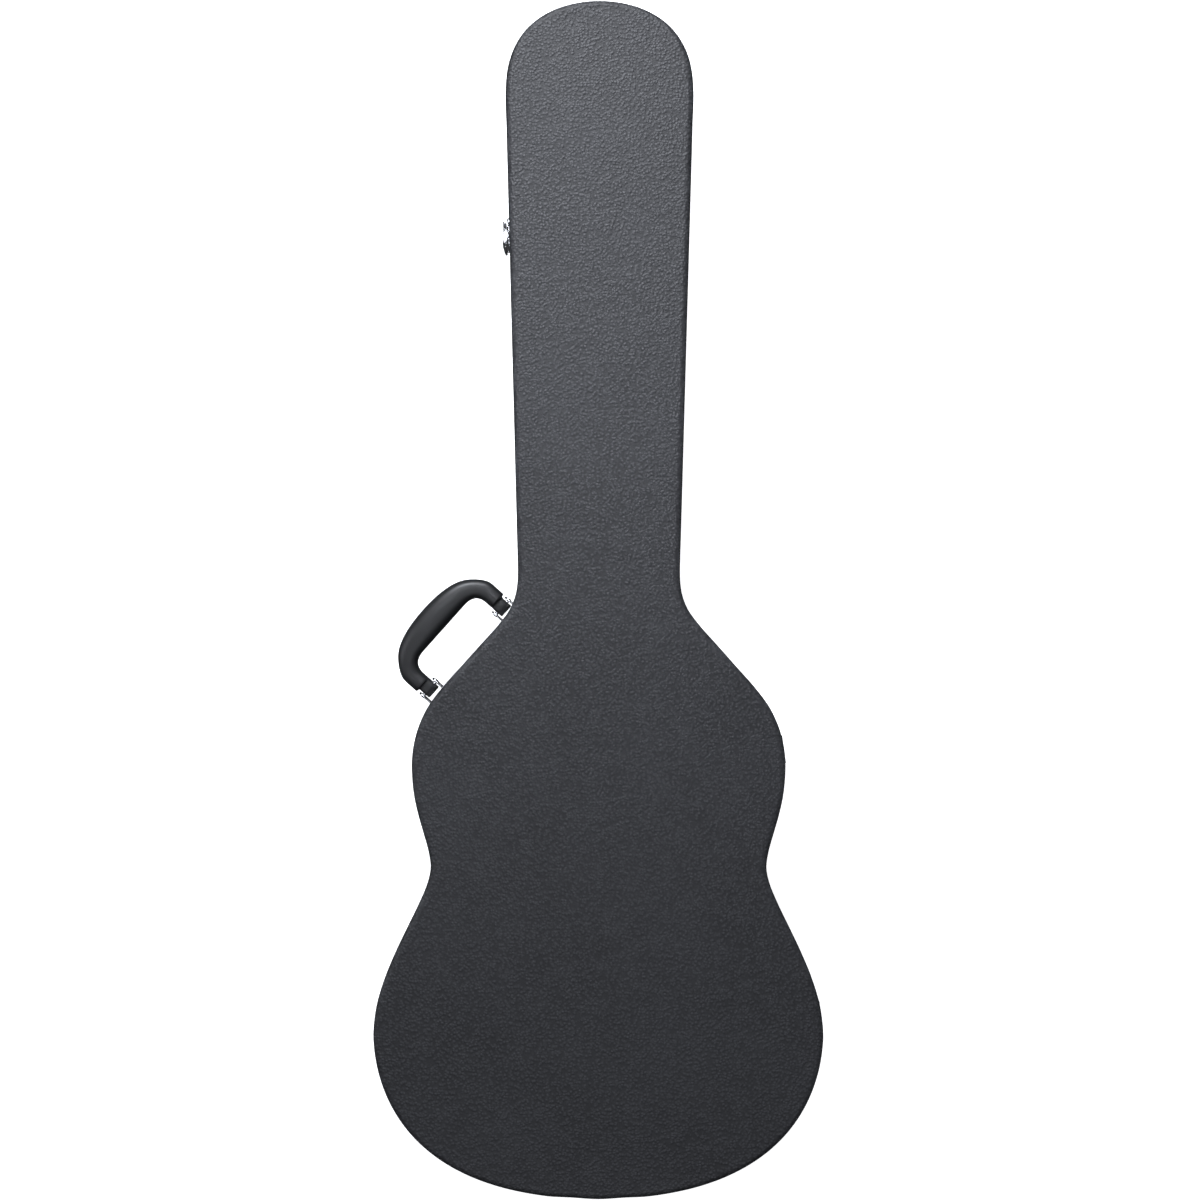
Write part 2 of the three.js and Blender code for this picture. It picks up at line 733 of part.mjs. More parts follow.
const BRACKET = {
  foot: 28,
  footHeight: 22,
  footCorner: 7,
  thickness: 1.2,
  earGap: 1.4, // between a lug and an ear
  earWidth: 1.8,
  earRadius: 4.4,
  deepest: -6, // how far the blank reaches behind the wall before it's cut to it
};

// The outline of the grip and its two arms, in the plane of the handle.
function gripOutline() {
  const { lug, lugWidth, step, armOuter, crown, inner } = HANDLE;
  const armInner = lug - lugWidth / 2;
  const bend = { arm: 25, flat: 29 }; // the inner corner's two ends
  const outer = { arm: 33, side: [44.4, 56] }; // where the outside leaves the arm, and its turn
  const grip = new THREE.Shape();
  grip.moveTo(-armInner, step);
  grip.lineTo(-armInner, bend.arm);
  grip.quadraticCurveTo(-armInner, inner, -bend.flat, inner);
  grip.lineTo(bend.flat, inner);
  grip.quadraticCurveTo(armInner, inner, armInner, bend.arm);
  grip.lineTo(armInner, step);
  grip.lineTo(armOuter, step);
  grip.lineTo(armOuter, outer.arm);
  const [turnX, turnY] = outer.side;
  grip.bezierCurveTo(armOuter, outer.arm + 7, turnX + 7, turnY - 4.3, turnX, turnY);
  grip.bezierCurveTo(turnX - 10, turnY + 6.3, 18, crown, 0, crown);
  grip.bezierCurveTo(-18, crown, -turnX + 10, turnY + 6.3, -turnX, turnY);
  grip.bezierCurveTo(-turnX - 7, turnY - 4.3, -armOuter, outer.arm + 7, -armOuter, outer.arm);
  grip.lineTo(-armOuter, step);
  return grip;
}

function handleGrip() {
  const { lug, lugWidth, lugDepth, armOuter, step, crown, pivotOut, gripDepth, endDepth } = HANDLE;
  const round = 5;
  const gripGeometry = new THREE.ExtrudeGeometry(gripOutline(), {
    depth: gripDepth - 2 * round,
    bevelThickness: round,
    bevelSize: round,
    bevelOffset: -round,
    bevelSegments: 2,
    curveSegments: 4,
  });
  gripGeometry.translate(0, 0, -gripDepth / 2 + round);

  // Seen from outside, the grip is fullest in the middle and thins towards both arms.
  const swell = new THREE.Shape();
  const end = armOuter + 1;
  swell.moveTo(-end, -endDepth / 2);
  swell.quadraticCurveTo(0, -gripDepth + endDepth / 2, end, -endDepth / 2);
  swell.lineTo(end, endDepth / 2);
  swell.quadraticCurveTo(0, gripDepth - endDepth / 2, -end, endDepth / 2);
  const swellGeometry = new THREE.ExtrudeGeometry(swell, {
    depth: crown + 2,
    bevelEnabled: false,
    curveSegments: 6,
  });
  swellGeometry.rotateX(Math.PI / 2);
  swellGeometry.translate(0, crown + 1, 0);

  let shape = solid(gripGeometry).intersect(solid(swellGeometry));
  const half = lugDepth / 2;
  for (const side of [-1, 1]) {
    const middle = side * lug;
    shape = shape
      .add(block(
        [middle - lugWidth / 2, middle + lugWidth / 2],
        [pivotOut, step + 8],
        [-half, half],
      ))
      .add(barX(half, lugWidth, [middle, pivotOut, 0], 14));
  }
  return shape.subtract(barX(HANDLE.pivotRadius + TOUCH_GAP, 3 * lug, [0, pivotOut, 0]));
}

// A bracket's foot is bent to the wall, and its two ears carry the pin.
function handleBracket(side, { wall, strip }) {
  const { lug, lugWidth, pivotOut, pivotRadius } = HANDLE;
  const { foot, footHeight, footCorner, earGap, earWidth, earRadius, deepest } = BRACKET;
  const outline = roundedRectangle(foot, [-footHeight / 2, footHeight / 2], footCorner);
  const blank = new THREE.ExtrudeGeometry(outline, { depth: pivotOut - deepest, bevelEnabled: false });
  blank.rotateX(Math.PI / 2);
  blank.translate(side * lug, pivotOut, 0);
  let shape = strip.intersect(solid(blank));
  for (const end of [-1, 1]) {
    const middle = side * lug + end * (lugWidth / 2 + earGap + earWidth / 2);
    shape = shape
      .add(barX(earRadius, earWidth, [middle, pivotOut, 0]))
      .add(block(
        [middle - earWidth / 2, middle + earWidth / 2],
        [deepest, pivotOut],
        [-earRadius, earRadius],
      ));
  }
  return shape
    .subtract(wall)
    .subtract(barX(pivotRadius + TOUCH_GAP, 3 * lug, [0, pivotOut, 0]));
}

function handlePin(side) {
  const overhang = BRACKET.earGap + BRACKET.earWidth + 0.7;
  const length = HANDLE.lugWidth + 2 * overhang;
  return barX(HANDLE.pivotRadius, length, [side * HANDLE.lug, HANDLE.pivotOut, 0]);
}

function addHandle() {
  const start = new THREE.Vector2(-SHOULDER_START.x, SHOULDER_START.y);
  const end = new THREE.Vector2(-SHOULDER_END.x, SHOULDER_END.y);
  const along = end.clone().sub(start).normalize();
  const out = new THREE.Vector2(-along.y, along.x);
  const middle = out.clone().multiplyScalar(start.dot(out)).addScaledVector(along, HANDLE.along);
  const angle = Math.atan2(along.y, along.x);
  const group = new THREE.Group();
  group.position.set(middle.x, middle.y, HANDLE.height);
  group.rotation.z = angle;
  wholeCase.add(group);
  const wall = wallStrip(middle, angle, BRACKET.thickness);
  addPiece('handle_grip', handleGrip(), HANDLE_LOOK, group);
  addPiece('handle_tail_bracket', handleBracket(-1, wall), CHROME_LOOK, group);
  addPiece('handle_head_bracket', handleBracket(1, wall), CHROME_LOOK, group);
  addPiece('handle_tail_pin', handlePin(-1), CHROME_LOOK, group);
  addPiece('handle_head_pin', handlePin(1), CHROME_LOOK, group);
}

// ---------------------------------------------------------------- the whole case

addBaseShell();
addLidShell();
addInside();
addStayStrap();
addHinge('tail_hinge', LINE.lower, TAIL_HINGE_SHIFT);
addHinge('waist_hinge', LINE.upper, WAIST_HINGE_SHIFT);
LATCHES.forEach(addLatch);
addHandle();

// The hinges stand out on one side only, so the case is moved over to centre its outer box.
const outerBox = new THREE.Box3().setFromObject(wholeCase, true);
wholeCase.position.x = -(outerBox.min.x + outerBox.max.x) / 2;
wholeCase.position.y = -(outerBox.min.y + outerBox.max.y) / 2;

export default wholeCase;
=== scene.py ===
"""A hard-shell guitar case: the fine surfaces, materials, light and camera around the CAD frame.

Lengths are in metres, in the frame's own axes: X across, Y from tail to head, Z up.
"""
import json
import math

import bmesh
import bpy
import numpy as np
from mathutils import Matrix, Vector, noise


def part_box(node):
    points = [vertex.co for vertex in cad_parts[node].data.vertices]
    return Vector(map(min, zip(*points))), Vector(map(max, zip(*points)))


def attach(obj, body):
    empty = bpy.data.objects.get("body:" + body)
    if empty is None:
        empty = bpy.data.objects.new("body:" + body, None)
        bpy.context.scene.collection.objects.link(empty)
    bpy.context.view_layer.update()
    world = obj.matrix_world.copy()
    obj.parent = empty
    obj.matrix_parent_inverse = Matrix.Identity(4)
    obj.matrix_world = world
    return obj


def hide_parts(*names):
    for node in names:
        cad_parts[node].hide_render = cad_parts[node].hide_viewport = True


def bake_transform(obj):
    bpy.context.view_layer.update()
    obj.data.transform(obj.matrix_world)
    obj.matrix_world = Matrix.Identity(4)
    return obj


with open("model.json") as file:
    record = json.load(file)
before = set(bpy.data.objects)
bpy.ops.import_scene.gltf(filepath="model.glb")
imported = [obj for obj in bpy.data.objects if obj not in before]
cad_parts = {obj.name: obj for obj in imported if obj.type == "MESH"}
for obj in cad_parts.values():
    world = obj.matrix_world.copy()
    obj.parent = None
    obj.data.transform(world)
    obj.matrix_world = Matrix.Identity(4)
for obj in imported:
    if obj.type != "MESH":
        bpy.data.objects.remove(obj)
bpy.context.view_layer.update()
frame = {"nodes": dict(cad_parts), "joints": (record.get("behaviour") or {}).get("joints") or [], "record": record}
MM = 0.001

# ---- sizes from the frame ----

JOINTS = {joint["name"]: joint for joint in frame["joints"]}
UP = Vector((0, 0, 1))

SHEET_LOW, SHEET_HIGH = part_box("lid_top_covering")
LID_LOW, LID_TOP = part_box("lid_side_covering")[0].z, SHEET_HIGH.z
BASE_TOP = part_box("base_side_covering")[1].z
PARTING = (LID_LOW + BASE_TOP) / 2
CENTRE_X = (SHEET_LOW.x + SHEET_HIGH.x) / 2
CENTRE_Y = (SHEET_LOW.y + SHEET_HIGH.y) / 2
HALF_LENGTH = SHEET_HIGH.y - CENTRE_Y
FLOOR_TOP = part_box("base_floor_padding")[1].z
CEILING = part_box("lid_top_padding")[0].z

EDGE_RADIUS = 6 * MM  # rounded edge of the lid and of the back
SHEET_WRAP = 9 * MM  # how far the flat sheets turn over the edge onto the sides
RIM_OUTER = 1.2 * MM  # from the wall to the plywood's outer face
RIM_INNER = 6.3 * MM  # and to its inner face
LINING_INSET = 6.6 * MM  # from the wall to the back of the linings
LINING_INNER = 14.2 * MM  # and to the face of the base's side lining
STEP = 5 * MM  # between points round the outline
KNOT_GAP = 30 * MM  # longest gap between the knots of the outline's curve
CURVE_STEPS = 16  # points on the curve from one knot to the next
SAME_PLACE = 1e-6  # points closer than this are one point

# ---- camera and stage ----

CAMERA_HEIGHT = 1.4
CAMERA_SIDE = 1 * MM  # how far right of the case's middle it stands
CAMERA_ROLL = 0.0013  # radians
VIEW_HEIGHT = 1.0727  # what the view spans from top to bottom, at the lid's edge
SENSOR = 36  # the width of the camera's film, in millimetres
STUDIO = 20  # radius of the pale backdrop, in metres
FLOOR_GAP = 0.5 * MM  # keeps the floor clear of the case's back
LAMP_COLOR = (0.94, 0.97, 1.04)  # slightly cool


def add_object(name, data):
    obj = bpy.data.objects.new(name, data)
    bpy.context.scene.collection.objects.link(obj)
    return obj


def add_camera():
    data = bpy.data.cameras.new("camera")
    data.sensor_width = SENSOR
    data.lens = SENSOR * (CAMERA_HEIGHT - LID_TOP + EDGE_RADIUS) / VIEW_HEIGHT
    camera = add_object("camera", data)
    camera.location = (CENTRE_X + CAMERA_SIDE, CENTRE_Y, CAMERA_HEIGHT)
    camera.rotation_euler.z = CAMERA_ROLL
    bpy.context.scene.camera = camera


def area_light(name, place, aim, size, power):
    data = bpy.data.lights.new(name, "AREA")
    data.shape = "RECTANGLE"
    data.size, data.size_y = size
    data.energy = power
    data.color = LAMP_COLOR
    light = add_object(name, data)
    light.location = place
    light.rotation_euler = (Vector(aim) - Vector(place)).to_track_quat("-Z", "Y").to_euler()
    return light


def add_stage():
    scene = bpy.context.scene
    scene.view_settings.view_transform = "Standard"
    world = bpy.data.worlds.new("studio")
    world.use_nodes = True
    background = world.node_tree.nodes["Background"]
    background.inputs["Color"].default_value = (0.93, 0.95, 1.0, 1)
    background.inputs["Strength"].default_value = 0.06
    scene.world = world

    area_light("head_softbox", (-0.30, 1.6, 1.35), (0, 0.36, 0.1), (1.4, 0.7), 58)
    neck_pool = area_light("neck_softbox", (-0.2, 0.45, 1.6), (0, 0.2, 0.1), (0.4, 0.4), 0.36)
    neck_pool.data.spread = math.radians(36)
    area_light("tail_softbox", (0.1, -1.0, 2.4), (0, -0.2, 0.1), (2.0, 1.2), 9)
    area_light("side_softbox", (-2.0, 0.1, 1.5), (0, 0, 0.1), (0.8, 1.8), 12)
    area_light("fill_softbox", (2.0, -0.2, 0.7), (0, 0, 0.06), (0.6, 1.8), 4)

    studio = Surface("pale_studio")
    studio.set(
        Base_Color=(0.9, 0.9, 0.9, 1), Roughness=0.9, Specular_IOR_Level=0.1,
        Emission_Color=(1, 1, 1, 1), Emission_Strength=0.9,
    )

    bpy.ops.mesh.primitive_plane_add(size=4 * STUDIO, location=(0, 0, -FLOOR_GAP))
    floor = bpy.context.object
    floor.name = "floor"
    bpy.ops.mesh.primitive_uv_sphere_add(radius=STUDIO, segments=64, ring_count=32)
    backdrop = bpy.context.object
    backdrop.name = "backdrop"
    for stage in (floor, backdrop):
        stage.visible_diffuse = False
        stage.visible_glossy = False
        stage.data.materials.append(studio.material)


# ---- materials ----


class Surface:
    """A material and the few node calls that the materials below share."""

    def __init__(self, name):
        self.material = bpy.data.materials.new(name)
        self.material.use_nodes = True
        self.tree = self.material.node_tree
        self.shader = self.tree.nodes["Principled BSDF"]
        self.place = self.tree.nodes.new("ShaderNodeTexCoord").outputs["Object"]

    def node(self, kind, inputs=None, **settings):
        made = self.tree.nodes.new(kind)
        for key, value in settings.items():
            setattr(made, key, value)
        for key, value in (inputs or {}).items():
            if isinstance(value, bpy.types.NodeSocket):
                self.tree.links.new(value, made.inputs[key])
            else:
                made.inputs[key].default_value = value
        return made

    def noise(self, scale, detail, rough=0.5, place=None):
        return self.node("ShaderNodeTexNoise", {
            "Vector": place or self.place, "Scale": scale, "Detail": detail, "Roughness": rough,
        }).outputs["Fac"]

    def ramp(self, value, low, high, start=0.0, end=1.0):
        """The value, moved from start..end onto low..high and held there."""
        return self.node("ShaderNodeMapRange", {
            "Value": value, "From Min": start, "From Max": end, "To Min": low, "To Max": high,
        }).outputs["Result"]

    def math(self, operation, first, second):
        return self.node("ShaderNodeMath", {0: first, 1: second}, operation=operation).outputs[0]

    def blend(self, factor, first, second):
        colors = [(*c, 1) if isinstance(c, tuple) else c for c in (first, second)]
        return self.node("ShaderNodeMix", {
            "Factor": factor, 6: colors[0], 7: colors[1],
        }, data_type="RGBA").outputs[2]

    def color(self, value):
        self.tree.links.new(value, self.shader.inputs["Base Color"])

    def roughness(self, value):
        self.tree.links.new(value, self.shader.inputs["Roughness"])

    def bump(self, height, strength, distance):
        made = self.node("ShaderNodeBump", {
            "Height": height, "Strength": strength, "Distance": distance,
        })
        self.tree.links.new(made.outputs["Normal"], self.shader.inputs["Normal"])

    def set(self, **values):
        for key, value in values.items():
            self.shader.inputs[key.replace("_", " ")].default_value = value


def vinyl_material():
    """Black vinyl with a pebble grain: small raised cells of uneven size with creases between, and painted shade
    darkening the creases.
    """
    s = Surface("pebbled_vinyl")
    warp = s.node("ShaderNodeTexNoise", {"Vector": s.place, "Scale": 240.0, "Detail": 1.0})
    moved = s.node("ShaderNodeVectorMath", {
        0: warp.outputs["Color"], "Scale": 0.0006,
    }, operation="SCALE").outputs[0]
    place = s.node("ShaderNodeVectorMath", {0: s.place, 1: moved}, operation="ADD").outputs[0]
    cells = s.node("ShaderNodeTexVoronoi", {
        "Vector": place, "Scale": 400.0, "Smoothness": 0.12, "Randomness": 0.9,
    }, feature="SMOOTH_F1").outputs["Distance"]
    fine = s.node("ShaderNodeTexVoronoi", {
        "Vector": place, "Scale": 1150.0, "Randomness": 1.0,
    }, feature="F1").outputs["Distance"]
    pebble = s.ramp(cells, 1.0, 0.0, 0.05, 0.7)
    height = s.math("ADD", s.math("MULTIPLY", pebble, 0.85), s.math("MULTIPLY", fine, 0.15))
    cloudy = s.noise(9.0, 4.0)
    wear = s.node("ShaderNodeAttribute", attribute_name="wear").outputs["Fac"]
    scuff = s.math("MULTIPLY", wear, s.ramp(s.noise(60.0, 6.0, 0.7), 0.0, 1.0, 0.45, 0.75))
    # Painted shade: the colour is darker in the creases between the pebbles and lighter on their crowns, following
    # the bump's height.
    crease_painted_shade, crown = (0.012, 0.0122, 0.014), (0.032, 0.0325, 0.036)
    body = s.blend(s.ramp(pebble, 0.0, 1.0, 0.1, 0.8), crease_painted_shade, crown)
    shade = s.blend(s.ramp(cloudy, 0.0, 0.3, 0.35, 0.7), body, (0.032, 0.033, 0.037))
    s.color(s.blend(scuff, shade, (0.07, 0.072, 0.077)))
    s.roughness(s.math("ADD", s.ramp(pebble, 0.58, 0.46, 0.1, 0.9), s.ramp(cloudy, -0.04, 0.06)))
    s.bump(height, 0.85, 0.0006)
    s.set(Specular_IOR_Level=0.5)
    return s.material


def handle_material():
    """Moulded black plastic with a fine spark-eroded texture, polished by the hand."""
    s = Surface("moulded_plastic")
    cloudy = s.noise(45.0, 4.0)
    grain = s.noise(2600.0, 2.0)
    s.color(s.blend(cloudy, (0.012, 0.012, 0.0125), (0.019, 0.019, 0.020)))
    s.roughness(s.math("ADD", s.ramp(cloudy, 0.36, 0.46, 0.3, 0.7), s.ramp(grain, -0.04, 0.04)))
    s.bump(grain, 0.12, 0.0002)
    return s.material


def plastic_material():
    """Extruded black plastic with fine drawing lines."""
    s = Surface("extruded_plastic")
    cloudy = s.noise(30.0, 4.0)
    grain = s.noise(1500.0, 2.0)
    s.color(s.blend(cloudy, (0.008, 0.008, 0.009), (0.016, 0.016, 0.017)))
    s.roughness(s.ramp(cloudy, 0.32, 0.5, 0.3, 0.7))
    s.bump(grain, 0.1, 0.0002)
    return s.material


def chrome_material():
    """Bright nickel plate, very slightly uneven, with faint fingerprints and dulled spots."""
    s = Surface("nickel_plate")
    cloudy = s.noise(120.0, 5.0, 0.6)
    fine = s.noise(900.0, 3.0)
    s.color(s.blend(s.ramp(cloudy, 0, 1, 0.35, 0.65), (0.62, 0.63, 0.65), (0.83, 0.83, 0.84)))
    s.roughness(s.ramp(cloudy, 0.10, 0.24, 0.35, 0.75))
    s.bump(fine, 0.05, 0.0002)
    s.set(Metallic=1.0)
    return s.material


def plush_material():
    """Short-pile charcoal plush: soft sheen, tufts leaning in patches, and painted shade between the tufts."""
    s = Surface("plush")
    patches = s.noise(26.0, 3.0)
    pile = s.noise(1400.0, 2.0, 0.7)
    tufts = s.noise(420.0, 4.0, 0.65)
    # Painted shade: the pile's colour is darker between the tufts and lighter on their tops, following the bump's
    # height.
    deep = s.blend(s.ramp(tufts, 0, 1, 0.3, 0.7), (0.020, 0.020, 0.023), (0.055, 0.055, 0.062))
    s.color(s.blend(s.ramp(patches, 0.0, 0.5, 0.35, 0.65), deep, (0.08, 0.08, 0.088)))
    s.roughness(s.ramp(pile, 0.85, 1.0))
    height = s.math("ADD", s.math("MULTIPLY", tufts, 0.7), s.math("MULTIPLY", pile, 0.3))
    s.bump(height, 0.7, 0.001)
    s.set(Sheen_Weight=0.35, Sheen_Roughness=0.5, Specular_IOR_Level=0.2)
    return s.material


def webbing_material():
    """Black webbing with a close diagonal weave and painted shade in its grooves."""
    s = Surface("webbing")
    weave = s.node("ShaderNodeTexWave", {
        "Vector": s.place, "Scale": 260.0, "Distortion": 0.6, "Detail": 2.0,
    }, bands_direction="DIAGONAL").outputs["Fac"]
    fuzz = s.noise(1800.0, 2.0)
    # Painted shade: the colour is darker in the weave's grooves and lighter on its ribs, following the bump's
    # height.
    s.color(s.blend(weave, (0.010, 0.010, 0.011), (0.035, 0.035, 0.038)))
    s.roughness(s.ramp(fuzz, 0.75, 0.95))
    s.bump(s.math("ADD", weave, s.math("MULTIPLY", fuzz, 0.4)), 0.5, 0.0005)
    s.set(Sheen_Weight=0.15)
    return s.material


def plywood_material():
    """Birch plywood: pale face grain along the case."""
    s = Surface("birch_plywood")
    stretched = s.node("ShaderNodeMapping", {"Vector": s.place, "Scale": (30.0, 2.0, 30.0)})
    rings = s.noise(6.0, 6.0, 0.6, stretched.outputs["Vector"])
    fine = s.noise(500.0, 3.0, 0.5, stretched.outputs["Vector"])
    s.color(s.blend(s.ramp(rings, 0, 1, 0.3, 0.7), (0.33, 0.19, 0.09), (0.55, 0.37, 0.19)))
    s.roughness(s.ramp(fine, 0.6, 0.85))
    s.bump(fine, 0.3, 0.0003)
    return s.material


# One material for each slot of the frame
LOOKS = {
    "vinyl": vinyl_material(),
    "handle_plastic": handle_material(),
    "black_plastic": plastic_material(),
    "chrome": chrome_material(),
    "plush": plush_material(),
    "webbing": webbing_material(),
    "plywood": plywood_material(),
}

# ---- the outline ----


def even(points, count=None):
    """The same path with evenly spaced points, about STEP apart if no count is given."""
    points = np.array(points, float)
    run = np.concatenate([[0], np.cumsum(np.linalg.norm(np.diff(points, axis=0), axis=1))])
    at = np.linspace(0, run[-1], count or round(run[-1] / STEP) + 1)
    return np.column_stack([np.interp(at, run, points[:, k]) for k in (0, 1)])


def outline_rows():
    """The right half of the outer outline from tail to head, as even points and their normals.

    The frame's floor padding is a plain slab that runs parallel to the wall, so its corners
    give the outline. A smooth curve goes through them and is moved out to the wall.
    """
    slab = frame["nodes"]["base_floor_padding"].data.vertices
    corners = {(round(v.co.x - CENTRE_X, 5), round(v.co.y, 5)) for v in slab}
    body_y = CENTRE_Y - 0.19 * HALF_LENGTH  # the outline is seen whole from here
    half = sorted(
        (p for p in corners if p[0] > -1e-5),
        key=lambda p: math.atan2(p[1] - body_y, p[0]),
    )
    knots = [half[0]]
    for place in half[1:]:
        gap = math.dist(knots[-1], place)
        pieces = max(1, round(gap / KNOT_GAP))
        start = knots[-1]
        for k in range(1, pieces + 1):
            knots.append(tuple(np.array(start) + (np.array(place) - start) * (k / pieces)))
    knots = np.array(knots)
    mirror = np.array([-1, 1])
    padded = np.vstack([knots[1] * mirror, knots, knots[-2] * mirror])
    dense = []
    for a, b, c, d in zip(padded, padded[1:], padded[2:], padded[3:]):
        for t in np.arange(CURVE_STEPS) / CURVE_STEPS:
            dense.append(centripetal(a, b, c, d, t))
    dense = np.array(dense + [knots[-1]])
    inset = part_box("lid_side_covering")[1].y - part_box("base_floor_padding")[1].y
    dense += outward(dense) * inset
    points = even(dense)
    return points, outward(points)


def centripetal(a, b, c, d, share):
    """A point between b and c on the smooth curve through four points."""
    times = [0.0]
    for p, q in ((a, b), (b, c), (c, d)):
        times.append(times[-1] + math.sqrt(np.linalg.norm(q - p)))
    t = times[1] + share * (times[2] - times[1])

    def between(p, q, i, j):
        return p + (q - p) * ((t - times[i]) / (times[j] - times[i]))

    ab, bc, cd = between(a, b, 0, 1), between(b, c, 1, 2), between(c, d, 2, 3)
    return between(between(ab, bc, 0, 2), between(bc, cd, 1, 3), 1, 2)


def outward(points):
    """The outward direction at each point of a half outline that runs from tail to head."""
    side = np.gradient(points, axis=0)
    side[0] = (1, 0)
    side[-1] = (-1, 0)
    side /= np.linalg.norm(side, axis=1)[:, None]
    return np.column_stack([side[:, 1], -side[:, 0]])


ROWS, NORMALS = outline_rows()


def loop(inset):
    """The whole outline moved in by a distance, counterclockwise from the tail, in the frame."""
    right = ROWS - NORMALS * inset
    left = (right * (-1, 1))[1:-1][::-1]
    points = np.vstack([right, left])
    points[:, 0] += CENTRE_X
    return points


# ---- mesh building ----


def smooth_object(name, mesh, slot):
    """An object of a mesh, shaded smooth, in the material of one slot."""
    mesh.materials.append(LOOKS[slot])
    for polygon in mesh.polygons:
        polygon.use_smooth = True
    return add_object(name, mesh)


def mesh_object(name, points, faces, slot):
    mesh = bpy.data.meshes.new(name)
    mesh.from_pydata([tuple(p) for p in points], [], faces)
    mesh.validate()
    work = bmesh.new()
    work.from_mesh(mesh)
    bmesh.ops.remove_doubles(work, verts=work.verts, dist=SAME_PLACE)
    bmesh.ops.recalc_face_normals(work, faces=work.faces)
    work.to_mesh(mesh)
    work.free()
    return smooth_object(name, mesh, slot)


def place_piece(obj, body, replaced=()):
    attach(obj, body)
    if replaced:
        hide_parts(*replaced)
    return obj


def ripple(x, y, z, size, height):
    """Slow unevenness of a hand-laid sheet."""
    return noise.noise(Vector((x, y, z)) / size) * height


def band(profile, closed=False):
    """Points and faces of a surface that runs round the outline with a (inset, height) profile."""
    loops = [loop(inset) for inset, _ in profile]
    count = len(loops[0])
    points = [
        (x, y, height) for ring, (_, height) in zip(loops, profile) for x, y in ring
    ]
    faces = []
    last = len(profile) if closed else len(profile) - 1
    for k in range(last):
        low, high = k * count, ((k + 1) % len(profile)) * count
        for i in range(count):
            j = (i + 1) % count
            faces.append((low + i, low + j, high + j, high + i))
    return points, faces


def sheet_across(inset, height, columns, offset, crown=lambda x, y, depth: 0.0):
    """Points and faces that fill the outline from side to side at one height.

    Each row runs from a point on the left to its mirror image on the right. The rim's points
    match those of a band with the same inset.
    """
    right = ROWS - NORMALS * inset
    points = []
    rows = []
    for x, y in right:
        if abs(x) < SAME_PLACE:
            rows.append([offset + len(points)] * (columns + 1))
            points.append((CENTRE_X, y, height))
            continue
        row = []
        for k in range(columns + 1):
            side = math.sin(math.pi * (k / columns - 0.5))
            depth = min(1.0, (1 - abs(side)) * x / (25 * MM))
            row.append(offset + len(points))
            across = side * x
            points.append((CENTRE_X + across, y, height + crown(across, y, depth)))
        rows.append(row)
    faces = []
    for low, high in zip(rows, rows[1:]):
        for k in range(columns):
            face = [low[k], low[k + 1], high[k + 1], high[k]]
            faces.append(tuple(dict.fromkeys(face)))
    return points, faces


def arc(centre, radius, start, end, steps):
    """Points on an arc in a flat plane; angles in degrees."""
    angles = [math.radians(start + (end - start) * k / steps) for k in range(steps + 1)]
    return [
        (centre[0] + radius * math.cos(a), centre[1] + radius * math.sin(a)) for a in angles
    ]


def set_wear(obj, amount):
    """Stores how rubbed each point is, from a function of its height."""
    attribute = obj.data.attributes.new("wear", "FLOAT", "POINT")
    values = [amount(v.co) for v in obj.data.vertices]
    attribute.data.foreach_set("value", values)


def add_modifier(obj, kind, **settings):
    modifier = obj.modifiers.new(kind.lower(), kind)
    for key, value in settings.items():
        setattr(modifier, key, value)
    return modifier


# ---- vinyl coverings ----

OVERLAP = 0.25 * MM  # how far the flat sheet's cut edge stands proud of the side band
WEAR_DEPTH = 2.2 * MM  # from the flat face to the most rubbed line of the rounded edge
WEAR_WIDTH = 2.4 * MM  # how far the wear fades on both sides of that line


def covering_profile(flat, wall_end, way):
    """(inset, height) from the flat face's rim, over the edge, down the wall and inside.

    flat is the flat face's height, wall_end the height of the wall's cut edge and way is +1
    when the flat face is above the wall.
    """
    centre = (EDGE_RADIUS - OVERLAP / 2, flat - way * EDGE_RADIUS)
    edge = arc(centre, EDGE_RADIUS, 90 * way, 180 * way, 9)
    seam = flat - way * (EDGE_RADIUS + SHEET_WRAP)
    wall = [
        (-OVERLAP / 2, seam + way * 0.2 * MM),
        (0, seam),
        (OVERLAP * 0.8, seam - way * 0.1 * MM),
        (OVERLAP, seam - way * 1.2 * MM),
    ]
    steps = 6
    start = wall[-1][1]
    end = wall_end + way * 1.2 * MM
    wall += [(OVERLAP, start + (end - start) * k / steps) for k in range(1, steps + 1)]
    turn = arc((OVERLAP + 1.2 * MM, wall_end + way * 1.2 * MM), 1.2 * MM, 180, 180 + way * 90, 5)
    inside = [(RIM_INNER - 0.6 * MM, wall_end), (RIM_INNER + 0.1 * MM, wall_end + way * 0.7 * MM)]
    return edge + wall + turn[1:] + inside


def add_covering(name, body, flat, wall_end, way, replaced):
    profile = covering_profile(flat, wall_end, way)
    profile.append((RIM_INNER + 0.1 * MM, wall_end + way * 9.5 * MM))
    points, faces = band(profile)

    def crown(x, y, depth):
        return -way * depth * 0.12 * MM + depth * ripple(x, y, flat, 0.09, 0.16 * MM)

    more, fill = sheet_across(profile[0][0], flat, 30, len(points), crown)
    obj = mesh_object(name, points + more, faces + fill, "vinyl")
    set_wear(obj, lambda co: max(0.0, 1 - abs(abs(co.z - flat) - WEAR_DEPTH) / WEAR_WIDTH))
    return place_piece(obj, body, replaced)


def add_coverings():
    add_covering(
        "lid_vinyl_cover", "lid", LID_TOP, LID_LOW - 0.12 * MM, 1,
        ["lid_top_covering", "lid_side_covering"],
    )
    add_covering(
        "base_vinyl_cover", "base", 0.0, BASE_TOP + 0.12 * MM, -1,
        ["base_back_covering", "base_side_covering"],
    )


